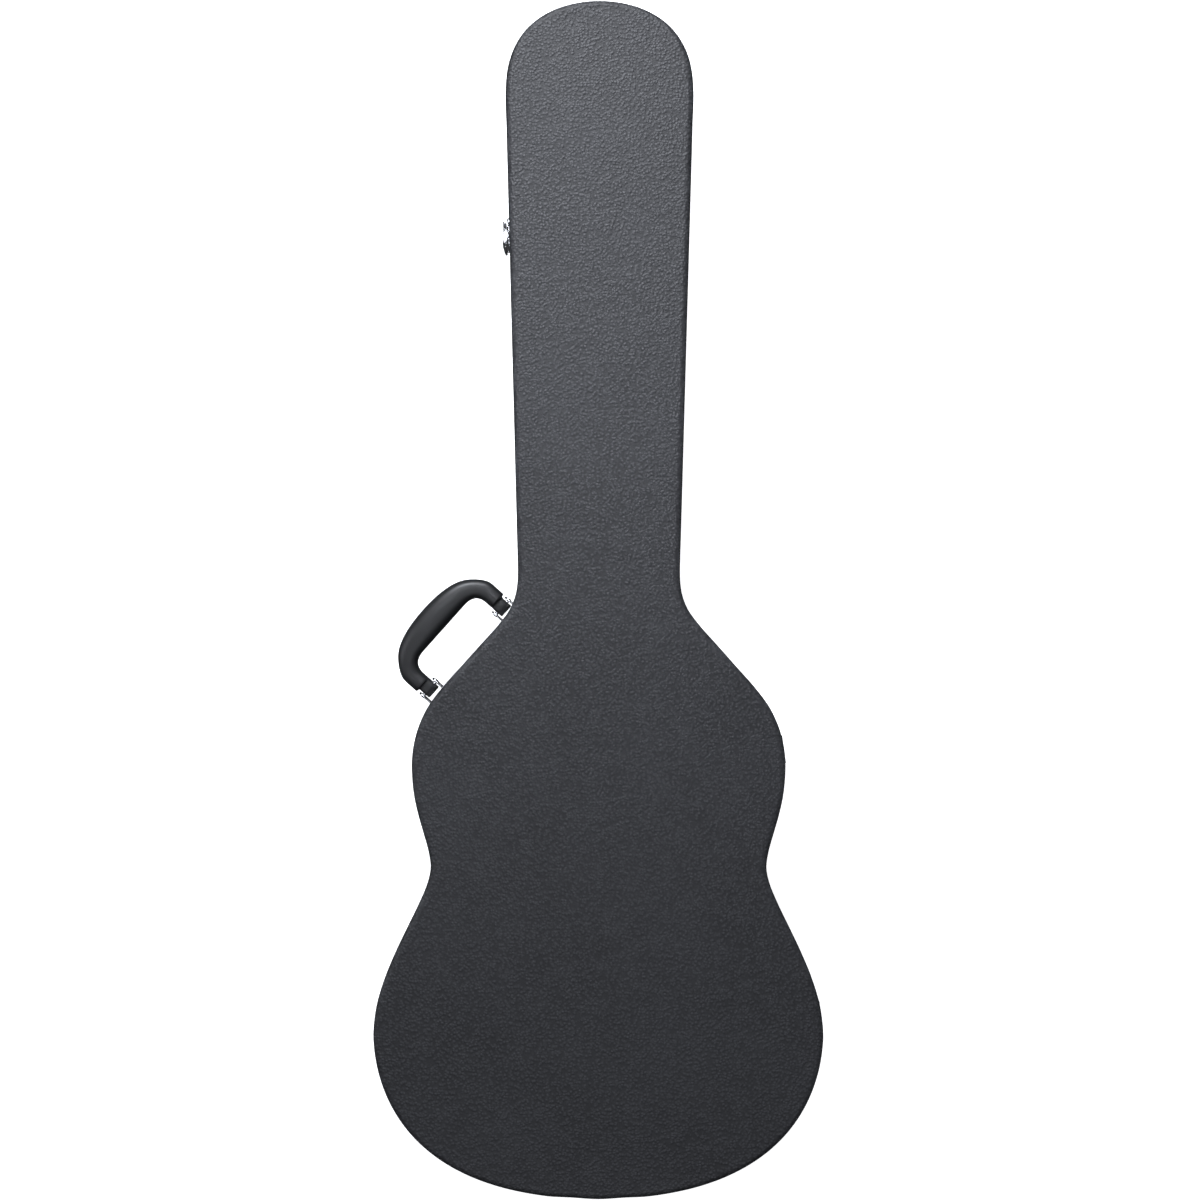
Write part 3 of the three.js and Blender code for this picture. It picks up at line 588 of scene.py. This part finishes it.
def add_rims():
    """The bent plywood walls of both halves, smooth round the curves."""
    for body in ("base", "lid"):
        strips = [f"{body}_rim_{place}_strip" for place in ("tail", "left", "right", "neck")]
        low = min(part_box(strip)[0].z for strip in strips)
        high = max(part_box(strip)[1].z for strip in strips)
        profile = [(RIM_OUTER, low), (RIM_INNER, low), (RIM_INNER, high), (RIM_OUTER, high)]
        wall = mesh_object(f"{body}_plywood_wall", *band(profile, closed=True), "plywood")
        place_piece(wall, body, strips)


# ---- plush linings ----


def add_side_lining(name, body, rows, replaced):
    obj = mesh_object(name, *band(rows, closed=True), "plush")
    for vertex in obj.data.vertices:
        wave = ripple(*vertex.co, 0.035, 0.35 * MM)
        vertex.co.z += wave * 0.4
    return place_piece(obj, body, replaced)


def add_linings():
    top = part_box("base_side_padding")[1].z
    low = FLOOR_TOP - 1 * MM
    inner = LINING_INNER
    base_rows = [
        (LINING_INSET + 0.3 * MM, low),
        (inner - 0.8 * MM, low),
        (inner, low + 5 * MM),
        (inner + 0.25 * MM, low + 20 * MM),
        (inner + 0.2 * MM, top - 14 * MM),
        (inner - 0.4 * MM, top - 5 * MM),
        (inner - 1.6 * MM, top - 1.8 * MM),
        (inner - 3.4 * MM, top - 0.3 * MM),
        (inner - 5.2 * MM, top - 0.6 * MM),
        (LINING_INSET + 0.5 * MM, top - 2.2 * MM),
    ]
    add_side_lining("base_side_lining", "base", base_rows, ["base_side_padding"])

    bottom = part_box("lid_side_padding")[0].z
    outer = LINING_INSET + 0.2 * MM
    face = LINING_INSET + 3 * MM
    lid_rows = [
        (outer, CEILING + 0.4 * MM),
        (face - 0.2 * MM, CEILING + 0.4 * MM),
        (face, CEILING - 4 * MM),
        (face + 0.1 * MM, (CEILING + bottom) / 2),
        (face - 0.2 * MM, bottom + 2.4 * MM),
        (face - 1.0 * MM, bottom + 0.5 * MM),
        (outer + 0.6 * MM, bottom + 0.1 * MM),
        (outer, bottom + 1.2 * MM),
    ]
    add_side_lining("lid_side_lining", "lid", lid_rows, ["lid_side_padding"])
    add_flat_lining("base_floor_lining", "base", FLOOR_TOP, 1, "base_floor_padding")
    add_flat_lining("lid_flat_lining", "lid", CEILING, -1, "lid_top_padding")


def add_flat_lining(name, body, height, way, node):
    """A foam pad under plush: flat, softly uneven, with its edge tucked behind the side."""
    profile = [
        (LINING_INSET + 0.4 * MM, height - way * 4.5 * MM),
        (LINING_INSET + 0.6 * MM, height - way * 2.0 * MM),
        (LINING_INSET + 1.8 * MM, height - way * 0.7 * MM),
        (LINING_INSET + 5.0 * MM, height - way * 0.25 * MM),
    ]
    points, faces = band(profile)

    def crown(x, y, depth):
        soft = ripple(x, y, height, 0.05, 0.5 * MM) + ripple(x, y, height, 0.018, 0.2 * MM)
        return -way * 0.25 * MM * (1 - depth) - way * abs(soft) * depth

    more, fill = sheet_across(profile[-1][0], height, 34, len(points), crown)
    under, base = sheet_across(profile[0][0], profile[0][1], 4, len(points) + len(more))
    obj = mesh_object(name, points + more + under, faces + fill + base, "plush")
    place_piece(obj, body, [node])


def add_valance():
    """The extruded plastic tongue that closes the joint."""
    low, high = (corner.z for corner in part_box("base_valance"))
    outer, inner = LINING_INSET, LINING_INSET + 1.5 * MM
    rows = [
        (outer, low + 0.3 * MM),
        (outer + 0.3 * MM, low),
        (inner - 0.3 * MM, low),
        (inner, low + 0.3 * MM),
        (inner, PARTING - 1.2 * MM),
        (inner + 0.5 * MM, PARTING - 0.8 * MM),
        (inner + 0.5 * MM, PARTING + 0.2 * MM),
        (inner, PARTING + 0.6 * MM),
        (inner, high - 0.9 * MM),
        (inner - 0.4 * MM, high - 0.2 * MM),
        (outer + 0.4 * MM, high - 0.2 * MM),
        (outer, high - 0.9 * MM),
    ]
    obj = mesh_object("joint_valance", *band(rows, closed=True), "black_plastic")
    place_piece(obj, "base", ["base_valance"])


def soft_copy(name, node, body, voxel, rounds):
    """A foam block under plush: the frame's block with its edges worn round."""
    obj = add_object(name, frame["nodes"][node].data.copy())
    obj.data.materials.clear()
    obj.data.materials.append(LOOKS["plush"])
    bpy.context.view_layer.objects.active = obj
    obj.select_set(True)
    remesh = add_modifier(obj, "REMESH", mode="VOXEL", voxel_size=voxel)
    bpy.ops.object.modifier_apply(modifier=remesh.name)
    work = bmesh.new()
    work.from_mesh(obj.data)
    for _ in range(rounds):
        bmesh.ops.smooth_vert(
            work, verts=work.verts, factor=0.5, use_axis_x=True, use_axis_y=True, use_axis_z=True,
        )
    for vertex in work.verts:
        push = ripple(*vertex.co, 0.016, 0.35 * MM)
        vertex.co += vertex.normal * push
    work.to_mesh(obj.data)
    work.free()
    for polygon in obj.data.polygons:
        polygon.use_smooth = True
    obj.select_set(False)
    add_modifier(obj, "SUBSURF", levels=1, render_levels=1)
    return place_piece(obj, body, [node])


def add_inside():
    for node, body, voxel, rounds, fill in (
        ("neck_cradle", "base", 2.5 * MM, 4, 0.8),
        ("compartment_wall", "base", 2.0 * MM, 2, 0.6),
        ("compartment_lid", "compartment_lid", 2.0 * MM, 2, 0.6),
    ):
        soft_copy(f"{node}_pad", node, body, voxel, rounds)


# ---- hard pieces ----

SHARP_EDGE = 38  # degrees; gentler edges are shaded smooth
BEVELLED_EDGE = 35  # degrees; sharper edges are bevelled
PLATE = (0.3, 1.5)  # from the wall to a plate's back and to its face, in millimetres
RIVET = (1.9, 0.9)  # a rivet head's radius and height
RIVET_FOOT = 1.4  # where its foot sits, just inside the plate's face
DOME_SIDES, DOME_STEPS = 20, 5
ROUND_STEPS = 12  # on a half circle


def circle(radius, sides):
    """Even points round a circle."""
    turns = [2 * math.pi * k / sides for k in range(sides)]
    return [(radius * math.cos(turn), radius * math.sin(turn)) for turn in turns]


class Hard:
    """Collects bevelled solids, drawn in millimetres in a local frame, into one piece."""

    def __init__(self, place):
        self.place = place
        self.work = bmesh.new()

    def prism(self, outline, low, high, to_space, bevel=0.3, segments=2):
        """A flat outline pushed from low to high; to_space turns (a, b, h) into (x, y, z)."""
        part = bmesh.new()
        bottom = [part.verts.new(to_space(a, b, low)) for a, b in outline]
        top = [part.verts.new(to_space(a, b, high)) for a, b in outline]
        part.faces.new(bottom)
        part.faces.new(top)
        for i in range(len(outline)):
            j = (i + 1) % len(outline)
            part.faces.new((bottom[i], bottom[j], top[j], top[i]))
        bmesh.ops.recalc_face_normals(part, faces=part.faces)
        if bevel:
            sharp = [e for e in part.edges if e.calc_face_angle(0) > math.radians(BEVELLED_EDGE)]
            bmesh.ops.bevel(
                part, geom=sharp, offset=bevel, offset_type="OFFSET", segments=segments,
                profile=0.5, affect="EDGES", clamp_overlap=True,
            )
        self.take(part)

    def out_plate(self, outline, low, high, **settings):
        """A plate that faces out of the wall, with its outline in (x, z)."""
        self.prism(outline, low, high, lambda a, b, h: (a, h, b), **settings)

    def side_plate(self, outline, low, high, **settings):
        """A plate that faces along the wall, with its outline in (y, z)."""
        self.prism(outline, low, high, lambda a, b, h: (h, a, b), **settings)

    def rod(self, start, end, radius, sides=24, bevel=0.3):
        axis = Vector(end) - Vector(start)
        turn = axis.to_track_quat("Z", "Y").to_matrix()
        origin = Vector(start)
        self.prism(
            circle(radius, sides), 0, axis.length,
            lambda a, b, h: origin + turn @ Vector((a, b, h)),
            bevel=min(bevel, radius * 0.6),
        )

    def dome(self, centre, out, radius, height):
        """A rivet head: a low dome on a surface."""
        part = bmesh.new()
        turn = Vector(out).to_track_quat("Z", "Y").to_matrix()
        rings = []
        for k in range(DOME_STEPS):
            angle = math.pi / 2 * k / DOME_STEPS
            rings.append([
                part.verts.new(Vector(centre) + turn @ Vector((x, y, height * math.sin(angle))))
                for x, y in circle(radius * math.cos(angle), DOME_SIDES)
            ])
        tip = part.verts.new(Vector(centre) + turn @ Vector((0, 0, height)))
        part.faces.new(rings[0])
        for low, high in zip(rings, rings[1:]):
            for i in range(DOME_SIDES):
                j = (i + 1) % DOME_SIDES
                part.faces.new((low[i], low[j], high[j], high[i]))
        for i in range(DOME_SIDES):
            part.faces.new((rings[-1][i], rings[-1][(i + 1) % DOME_SIDES], tip))
        self.take(part)

    def grid(self, rows, closed=False):
        """A surface through rows of points; closed joins each row's ends, and caps the ends."""
        part = bmesh.new()
        made = [[part.verts.new(p) for p in row] for row in rows]
        across = len(rows[0])
        for low, high in zip(made, made[1:]):
            for i in range(across if closed else across - 1):
                j = (i + 1) % across
                part.faces.new((low[i], low[j], high[j], high[i]))
        if closed:
            part.faces.new(made[0])
            part.faces.new(made[-1])
        self.take(part)

    def take(self, part):
        bmesh.ops.recalc_face_normals(part, faces=part.faces)
        mesh = bpy.data.meshes.new("part")
        part.to_mesh(mesh)
        part.free()
        self.work.from_mesh(mesh)
        bpy.data.meshes.remove(mesh)

    def to_object(self, name, slot):
        mesh = bpy.data.meshes.new(name)
        self.work.to_mesh(mesh)
        self.work.free()
        mesh.transform(self.place @ Matrix.Scale(MM, 4))
        return smooth_object(name, mesh, slot)

    def finish(self, name, body, *replaced, slot="chrome"):
        obj = self.to_object(name, slot)
        obj.data.set_sharp_from_angle(angle=math.radians(SHARP_EDGE))
        return place_piece(obj, body, replaced)


def wall_frame(along, outwards, origin):
    """A frame at a place on the wall: x along it, y out of it and z up."""
    place = Matrix((along, outwards, UP)).transposed().to_4x4()
    place.translation = origin
    return place


def local_frame(joint, out, height):
    """A frame on the wall, from a joint whose axis runs along it at a known place off it."""
    along = Vector(JOINTS[joint]["axis"]).normalized()
    outwards = UP.cross(along).normalized()
    origin = Vector(JOINTS[joint]["pos_m"]) - outwards * (out * MM) - UP * (height * MM)
    return wall_frame(along, outwards, origin)


def rounded(width, low, high, radius):
    """A rectangle with round corners, from low to high, centred across."""
    radius = min(radius, width / 2, (high - low) / 2)
    corners = [
        (width / 2 - radius, low + radius, -90),
        (width / 2 - radius, high - radius, 0),
        (-width / 2 + radius, high - radius, 90),
        (-width / 2 + radius, low + radius, 180),
    ]
    points = []
    for x, y, start in corners:
        points += arc((x, y), radius, start, start + 90, ROUND_STEPS // 2)
    return points


# ---- draw latches ----

# Out of the wall and up from the parting line, in millimetres
PIVOT = (4.8, -13)
CLAW_PIVOT = (4.1, -20)
LOCK_HEIGHT = -29


def tab_outline(reach, root, radius, height):
    """A bent-up ear in (y, z): square at the plate and round at the pin."""
    rounding = arc((reach, height), radius, -90, 90, ROUND_STEPS)
    return [(root, height - radius), *rounding, (root, height + radius)]


def latch_plate(place, name):
    hard = Hard(place)
    hard.out_plate(rounded(30, -40, -3, 9), *PLATE, bevel=0.45)
    for side in (-1, 1):
        inner, outer = sorted((side * 8, side * 9.4))
        hard.side_plate(tab_outline(PIVOT[0], 1.0, 3.6, PIVOT[1]), inner, outer)
        for x, z in ((9, -34.5), (12.2, -8)):
            hard.dome((side * x, RIVET_FOOT, z), (0, 1, 0), *RIVET)
    hard.rod((-10.1, *PIVOT), (10.1, *PIVOT), 1.2)
    hard.finish(f"{name}_riveted_plate", "base", f"{name}_plate")


def lever_rows(thickness, inset):
    """The lever's blade as rows across it, from the hub down to the turned-out tip."""
    rows = []
    steps = 22
    for k in range(steps + 1):
        t = k / steps
        z = -14.5 - 25.2 * t
        y = 6.4 + 0.5 * math.sin(math.pi * min(t * 1.6, 1)) + 3.0 * max(0.0, (t - 0.72) / 0.28) ** 2
        neck = 7.2 + 4.6 * (1 / (1 + math.exp(-(t - 0.36) * 26)))
        tip = math.sqrt(max(0.0, 1 - max(0.0, (t - 0.80) / 0.205) ** 2))
        half = neck * (0.28 + 0.72 * tip) - inset
        across = 14
        rows.append([
            (
                half * (2 * i / across - 1),
                y + thickness + 0.7 * (1 - (2 * i / across - 1) ** 2),
                z,
            )
            for i in range(across + 1)
        ])
    return rows


def latch_lever(place, name, body):
    hard = Hard(place)
    layers = zip(lever_rows(0.75, 0.5), lever_rows(0.2, 0.0), lever_rows(-0.75, 0.3))
    rings = [[edge[0], *face, edge[-1], *reversed(back)] for face, edge, back in layers]
    hard.grid(rings, closed=True)
    hard.rod((-7.6, *PIVOT), (7.6, *PIVOT), 2.6, sides=28)
    for side in (-1, 1):
        inner, outer = sorted((side * 4.6, side * 7.4))
        hard.side_plate([(3.0, -21.4), (6.6, -22.5), (6.6, -17.8), (3.0, -18.6)], inner, outer)
    hard.rod((-12.2, *CLAW_PIVOT), (12.2, *CLAW_PIVOT), 1.0, sides=20)
    for side in (-1, 1):
        hard.dome((side * 12.0, *CLAW_PIVOT), (side, 0, 0), 1.5, 0.7)
    hard.finish(f"{name}_thumb_lever", body, f"{name}_lever")


def latch_claw(place, name, body):
    hard = Hard(place)
    for side in (-1, 1):
        inner, outer = sorted((side * 9.9, side * 11.5))
        arm = arc(CLAW_PIVOT, 2.2, 180, 360, ROUND_STEPS)
        arm += [(5.6, -18), (5.4, -6), (6.4, 4), (6.6, 9.6), (2.8, 9.6), (2.6, -2)]
        hard.side_plate(arm, inner, outer, bevel=0.35)
    bar = rounded(23, 3.2, 12.2, 3.4)
    hard.out_plate(bar, 5.6, 7.0, bevel=0.5, segments=3)
    hook = [(2.6, 9.9), (5.9, 9.9), (6.9, 10.6), (6.9, 11.6), (6.0, 12.3), (3.2, 12.3), (2.6, 11.6)]
    hard.side_plate(hook, -11.3, 11.3, bevel=0.35)
    hard.finish(f"{name}_draw_claw", body, f"{name}_claw")


def latch_keeper(place, name):
    hard = Hard(place)
    hard.out_plate(rounded(18.8, 3, 26, 6), *PLATE, bevel=0.45)
    lip = [(1.0, 8), (4.2, 8), (5.0, 8.6), (5.0, 9.2), (4.7, 9.5), (1.0, 9.5)]
    hard.side_plate(lip, -9.4, 9.4, bevel=0.25)
    for x in (-5, 5):
        hard.dome((x, RIVET_FOOT, 21), (0, 1, 0), *RIVET)
    hard.finish(f"{name}_strike_plate", "lid", f"{name}_keeper")


def lock_barrel(place):
    hard = Hard(place)
    for start, end, radius, sides, bevel in ((5.0, 8.6, 3.6, 36, 0.5), (8.2, 8.9, 2.3, 30, 0.2)):
        hard.rod((0, start, LOCK_HEIGHT), (0, end, LOCK_HEIGHT), radius, sides=sides, bevel=bevel)
    hard.finish("lock_face", "lock_barrel", "lower_bout_latch_lock_barrel")
    slot = Hard(place)
    slot.out_plate(rounded(0.9, LOCK_HEIGHT - 1.6, LOCK_HEIGHT + 1.6, 0.4), 8.7, 8.95, bevel=0)
    slot.finish("lock_keyway", "lock_barrel", slot="black_plastic")


def add_latches():
    for name in ("neck_latch", "lower_bout_latch", "tail_latch"):
        place = local_frame(f"{name}_lever_pivot", *PIVOT)
        latch_plate(place, name)
        latch_lever(place, name, f"{name}_lever")
        latch_claw(place, name, f"{name}_claw")
        latch_keeper(place, name)
        if name == "lower_bout_latch":
            lock_barrel(place)


# ---- hinges ----

HINGE_HALF = 13  # half the hinge's length
HINGE_OUT = 2.2  # from the wall to the pin's middle
KNUCKLE, HINGE_PIN = 1.8, 0.8  # radii
KNUCKLE_GAP = 0.15  # at each end of a knuckle


def wall_offset(place, x):
    """How far the wall is from a local frame's own x axis, in mm, at a place along it."""
    back = place.inverted()
    outline = [back @ Vector((px, py, place.translation.z)) for px, py in loop(0)]
    near = [(p.x / MM, p.y / MM) for p in outline if abs(p.x) < 0.06 and abs(p.y) < 0.03]
    near.sort()
    xs, ys = zip(*near)
    return float(np.interp(x, xs, ys))


def bent_plate(hard, place, half, low, high, radius, thickness=1.0, middle=0.0):
    """A plate bent to the wall, as rows along it, with round corners far from the hinge."""
    steps = 24
    rows = []
    for k in range(steps + 1):
        x = middle + half * (2 * k / steps - 1)
        wall = wall_offset(place, x)
        corner = max(0.0, radius - (half - abs(x - middle)))
        cut = radius - math.sqrt(max(0.0, radius ** 2 - corner ** 2))
        bottom, top = low, high
        if abs(low) > abs(high):
            bottom = low + cut
        else:
            top = high - cut
        inner, outer = wall + PLATE[0], wall + PLATE[0] + thickness
        soft = 0.25
        rows.append([
            (x, inner, bottom + soft), (x, inner, top - soft), (x, inner + soft, top),
            (x, outer - soft, top), (x, outer, top - soft), (x, outer, bottom + soft),
            (x, outer - soft, bottom), (x, inner + soft, bottom),
        ])
    hard.grid(rows, closed=True)


def add_hinges():
    line = JOINTS["lid_hinge"]
    along = Vector(line["axis"]).normalized()
    for name in ("tail_hinge", "waist_hinge"):
        low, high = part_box(f"{name}_pin")
        middle = (low + high) / 2
        outwards = along.cross(UP).normalized()
        origin = Vector((middle.x, middle.y, PARTING)) - outwards * (HINGE_OUT * MM)
        place = wall_frame(along, outwards, origin)
        for body, leaf, way, knuckles in (
            ("base", "base_leaf", -1, (-1, 1)),
            ("lid", "lid_leaf", 1, (0,)),
        ):
            hard = Hard(place)
            heights = sorted((way * 0.6, way * 20))
            bent_plate(hard, place, HINGE_HALF, *heights, 5)
            third = 2 * HINGE_HALF / 3
            for k in knuckles:
                start, end = (k - 0.5) * third + KNUCKLE_GAP, (k + 0.5) * third - KNUCKLE_GAP
                hard.rod((start, HINGE_OUT, 0), (end, HINGE_OUT, 0), KNUCKLE, sides=26, bevel=0.25)
                wall = min(wall_offset(place, start), wall_offset(place, end))
                web = [
                    (wall + 0.5, way * 0.7), (HINGE_OUT + 0.3, way * 0.7),
                    (HINGE_OUT + 0.8, way * 1.5), (HINGE_OUT - 0.4, way * 2.2),
                    (wall + 0.5, way * 3.8),
                ]
                hard.side_plate(web, start, end, bevel=0.15)
            for x, z in ((-8.5, 14), (8.5, 14), (0, 9)):
                rest = wall_offset(place, x) + 1.2
                hard.dome((x, rest, way * z), (0, 1, 0), 2.0, 0.9)
            hard.finish(f"{name}_{leaf}_riveted", body, f"{name}_{leaf}")
        pin = Hard(place)
        reach = HINGE_HALF + 0.3
        pin.rod((-reach, HINGE_OUT, 0), (reach, HINGE_OUT, 0), HINGE_PIN, sides=18)
        pin.finish(f"{name}_round_pin", "base", f"{name}_pin")


# ---- carrying handle ----

LUG = 51  # from the handle's middle to the middle of a lug
LUG_HALF = 6.8  # half a lug's width
PIVOT_OUT = 11  # from the wall to the pins
STEP_OUT = 18  # where a lug widens into an arm
ARM_OUTER = 61.2  # from the handle's middle to an arm's outer face
GRIP_INNER, CROWN = 38.7, 64.8  # from the wall to the grip's inner and outer face
LUG_DEPTH = 6.0  # half the lug's depth, which is also its round end's radius
ARM_DEPTH, GRIP_DEPTH = 9.2, 12.5  # half depths at an arm's end and in the middle
EAR_GAP, EAR_WIDTH, EAR_RADIUS = 1.4, 1.8, 4.4
BRACKET_HALF, BRACKET_HEIGHT = 14, 11  # half sizes of a bracket's foot


def bezier(points, steps):
    """Points on a curve with two or three handles, without its first point."""
    made = []
    for k in range(1, steps + 1):
        row = [np.array(p, float) for p in points]
        while len(row) > 1:
            row = [p + (q - p) * (k / steps) for p, q in zip(row, row[1:])]
        made.append(row[0])
    return made


def handle_edges(count):
    """The inner and the outer edge of half the handle, from an arm's end to the middle."""
    arm_inner = LUG - LUG_HALF
    inner = [(arm_inner, STEP_OUT), (arm_inner, 25)]
    inner += bezier([(arm_inner, 25), (arm_inner, GRIP_INNER), (29, GRIP_INNER)], 16)
    inner += [(29 * (1 - k / 8), GRIP_INNER) for k in range(1, 9)]
    outer = [(ARM_OUTER, STEP_OUT), (ARM_OUTER, 33)]
    outer += bezier([(ARM_OUTER, 33), (ARM_OUTER, 40), (51.4, 51.7), (44.4, 56)], 12)
    outer += bezier([(44.4, 56), (34.4, 62.3), (18, CROWN), (0, CROWN)], 16)
    return even(inner, count), even(outer, count)


def handle_rows():
    """Rings of points round the handle, from one lug's end over the grip to the other's."""
    inner, outer = handle_edges(34)
    rows = []
    lug_end = PIVOT_OUT - LUG_DEPTH
    for k in range(9):
        out = lug_end + 0.15 + (STEP_OUT - 0.5 - lug_end) * (k / 8) ** 1.4
        deep = LUG_DEPTH
        if out < PIVOT_OUT:
            deep = math.sqrt(max(0.3, LUG_DEPTH ** 2 - (PIVOT_OUT - out) ** 2))
        rows.append(((LUG - LUG_HALF, out), (LUG + LUG_HALF, out), deep))
    rounding = [(0.0, 0.55), (0.25, 0.85), (0.9, 0.97)]
    for k, (a, b) in enumerate(zip(inner, outer)):
        share = 1 - max(a[0], 0) / (LUG - LUG_HALF)
        deep = ARM_DEPTH + (GRIP_DEPTH - ARM_DEPTH) * math.sin(math.pi / 2 * share)
        if k == 0:
            for rise, width in rounding:
                middle = (a[0] + b[0]) / 2
                half = (b[0] - a[0]) / 2
                edge = middle + half * (0.75 + 0.25 * width)
                reach = deep * (0.7 + 0.3 * width)
                rows.append(((a[0] + 0.1, a[1] + rise), (edge, b[1] + rise), reach))
            continue
        rows.append((tuple(a), tuple(b), deep))
    return rows


def add_handle():
    place = local_frame("handle_pivot", PIVOT_OUT, 0)
    half = handle_rows()
    whole = half + [((-a[0], a[1]), (-b[0], b[1]), deep) for a, b, deep in reversed(half[:-1])]
    around = 40
    rings = []
    for a, b, deep in whole:
        middle = ((a[0] + b[0]) / 2, (a[1] + b[1]) / 2)
        reach = ((b[0] - a[0]) / 2, (b[1] - a[1]) / 2)
        lug = deep < LUG_DEPTH + 0.01
        power = 0.45 if lug else 0.78
        ring = []
        for i in range(around):
            angle = 2 * math.pi * i / around
            c, s = math.cos(angle), math.sin(angle)
            u = math.copysign(abs(c) ** power, c)
            v = math.copysign(abs(s) ** power, s)
            if i in (0, around // 2) and not lug:
                u *= 1.012  # the mould's parting line
            ring.append((middle[0] + reach[0] * u, middle[1] + reach[1] * u, deep * v))
        rings.append(ring)
    hard = Hard(place)
    hard.grid(rings, closed=True)
    grip = hard.finish("moulded_handle", "handle", "handle_grip", slot="handle_plastic")
    add_modifier(grip, "SUBSURF", levels=1, render_levels=1)

    for side, name in ((-1, "tail"), (1, "head")):
        middle = side * LUG
        bracket = Hard(place)
        bent_plate(
            bracket, place, BRACKET_HALF, -BRACKET_HEIGHT, BRACKET_HEIGHT, 0.01, 1.2, middle,
        )
        for end in (-1, 1):
            inner = middle + end * (LUG_HALF + EAR_GAP)
            low, high = sorted((inner, inner + end * EAR_WIDTH))
            wall = wall_offset(place, (low + high) / 2)
            ear = tab_outline(PIVOT_OUT, wall + 0.8, EAR_RADIUS, 0)
            bracket.side_plate(ear, low, high, bevel=0.5)
            x = middle + end * 11
            for z in (-7.5, 7.5):
                rest = wall_offset(place, x) + RIVET_FOOT
                bracket.dome((x, rest, z), (0, 1, 0), *RIVET)
        bracket.finish(f"handle_{name}_loop", "base", f"handle_{name}_bracket")
        reach = LUG_HALF + EAR_GAP + EAR_WIDTH
        pin = Hard(place)
        pin.rod((middle - reach, PIVOT_OUT, 0), (middle + reach, PIVOT_OUT, 0), 1.8)
        for end in (-1, 1):
            pin.dome((middle + end * (reach - 0.1), PIVOT_OUT, 0), (end, 0, 0), 2.7, 1.0)
        pin.finish(f"handle_{name}_rivet", "base", f"handle_{name}_pin")


# ---- webbing ----

STRAP_WIDTH, STRAP_THICKNESS = 24, 1.3  # millimetres
STRAP_LOW, STRAP_HIGH = 46, 112  # the heights of its base end and its lid end
STRAP_FOLDS = 5, 11  # how far in from the lining the second and the third run hang
TAB_WIDTH, TAB_THICKNESS = 16, 1.2  # the compartment lid's lifting tab
SELVEDGE = 0.55  # the webbing's edge thickness, as a share of its middle's


def ribbon(name, place, path, width, thickness):
    """A webbing ribbon, as a thin solid along a path of (out, height) points, in millimetres."""
    path = even(path, max(12, round(len(path) * 1.5)))
    side = np.gradient(path, axis=0)
    side /= np.linalg.norm(side, axis=1)[:, None]
    normal = np.column_stack([-side[:, 1], side[:, 0]]) * (thickness / 2)
    across = 8
    hard = Hard(place)
    rings = []
    for (out, height), (dx, dz) in zip(path, normal):
        ring = []
        for face, columns in ((1, range(across + 1)), (-1, range(across, -1, -1))):
            for k in columns:
                x = width * (k / across - 0.5)
                push = face * (SELVEDGE if k in (0, across) else 1.0)
                ring.append((x, out + dx * push, height + dz * push))
        rings.append(ring)
    hard.grid(rings, closed=True)
    obj = hard.to_object(name, "webbing")
    length = float(np.linalg.norm(np.diff(path, axis=0), axis=1).sum()) * MM
    return obj, length


def add_stay():
    """The strap that stops the lid: from the base's side lining, in a slack fold, to the lid's."""
    low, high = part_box("stay_strap")
    y = (low.y + high.y) / 2
    right = [p for p in loop(0) if p[0] > CENTRE_X]
    near = min(range(1, len(right) - 1), key=lambda i: abs(right[i][1] - y))
    along = Vector((*(right[near + 1] - right[near - 1]), 0)).normalized()
    outwards = along.cross(UP).normalized()
    share = (y - right[near][1]) / along.y
    place = wall_frame(along, outwards, Vector((*right[near], 0)) + along * share)
    base_face = -(LINING_INNER / MM + 1.1)
    lid_face = -(LINING_INSET / MM + 3 + 1.3)
    second, third = (base_face - fold for fold in STRAP_FOLDS)
    turn = 62  # height where the first run turns over into the second
    path = [(base_face, STRAP_LOW), (base_face, 54), (base_face, turn)]
    path += bezier([(base_face, turn), (base_face, 70), (second, 70), (second, turn)], 8)
    path += [(second, 54), (second, STRAP_LOW)]
    path += bezier([(second, STRAP_LOW), (second, 36), (third, 36), (third, STRAP_LOW)], 8)
    path += [(third, 58), (third + 1, 72)]
    path += bezier([(third + 1, 72), (third + 3, 88), (lid_face - 0.5, 90), (lid_face, 100)], 8)
    path += [(lid_face, 106), (lid_face, STRAP_HIGH)]
    strap, length = ribbon("lid_stay_strap", place, path, STRAP_WIDTH, STRAP_THICKNESS)
    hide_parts("stay_strap")
    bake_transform(strap)
    for name, body, face, height in (
        ("base_strap_rivets", "base", base_face - 0.6, 50),
        ("lid_strap_rivets", "lid", lid_face - 0.6, 107),
    ):
        rivets = Hard(place)
        for x in (-6, 6):
            rivets.dome((x, face, height), (0, -1, 0), 3.0, 1.3)
        rivets.finish(name, body)


def add_pull_tab():
    """The webbing tab that lifts the compartment's lid."""
    low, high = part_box("compartment_pull_tab")
    middle = (low + high) / 2
    place = wall_frame((1, 0, 0), (0, 1, 0), Vector((middle.x, low.y, low.z)))
    length = (high.y - low.y) / MM
    path = [(0.5, -0.1), (4, 0.1), (8, 0.2), (12, 0.5), (16, 0.75), (length - 1, 0.7)]
    tab, run = ribbon("compartment_lifting_tab", place, path, TAB_WIDTH, TAB_THICKNESS)
    place_piece(tab, "compartment_lid", ["compartment_pull_tab"])


# ---- finishing ----


def finish_cad_nodes():
    """The plywood panels stay as they are in the frame and only get their material."""
    for part in frame["record"]["subparts"]:
        obj = frame["nodes"][part["node"]]
        for entry in obj.material_slots:
            entry.material = LOOKS[part["material_slot"]]


add_camera()
add_stage()
finish_cad_nodes()
add_coverings()
add_rims()
add_linings()
add_valance()
add_inside()
add_latches()
add_hinges()
add_handle()
add_stay()
add_pull_tab()
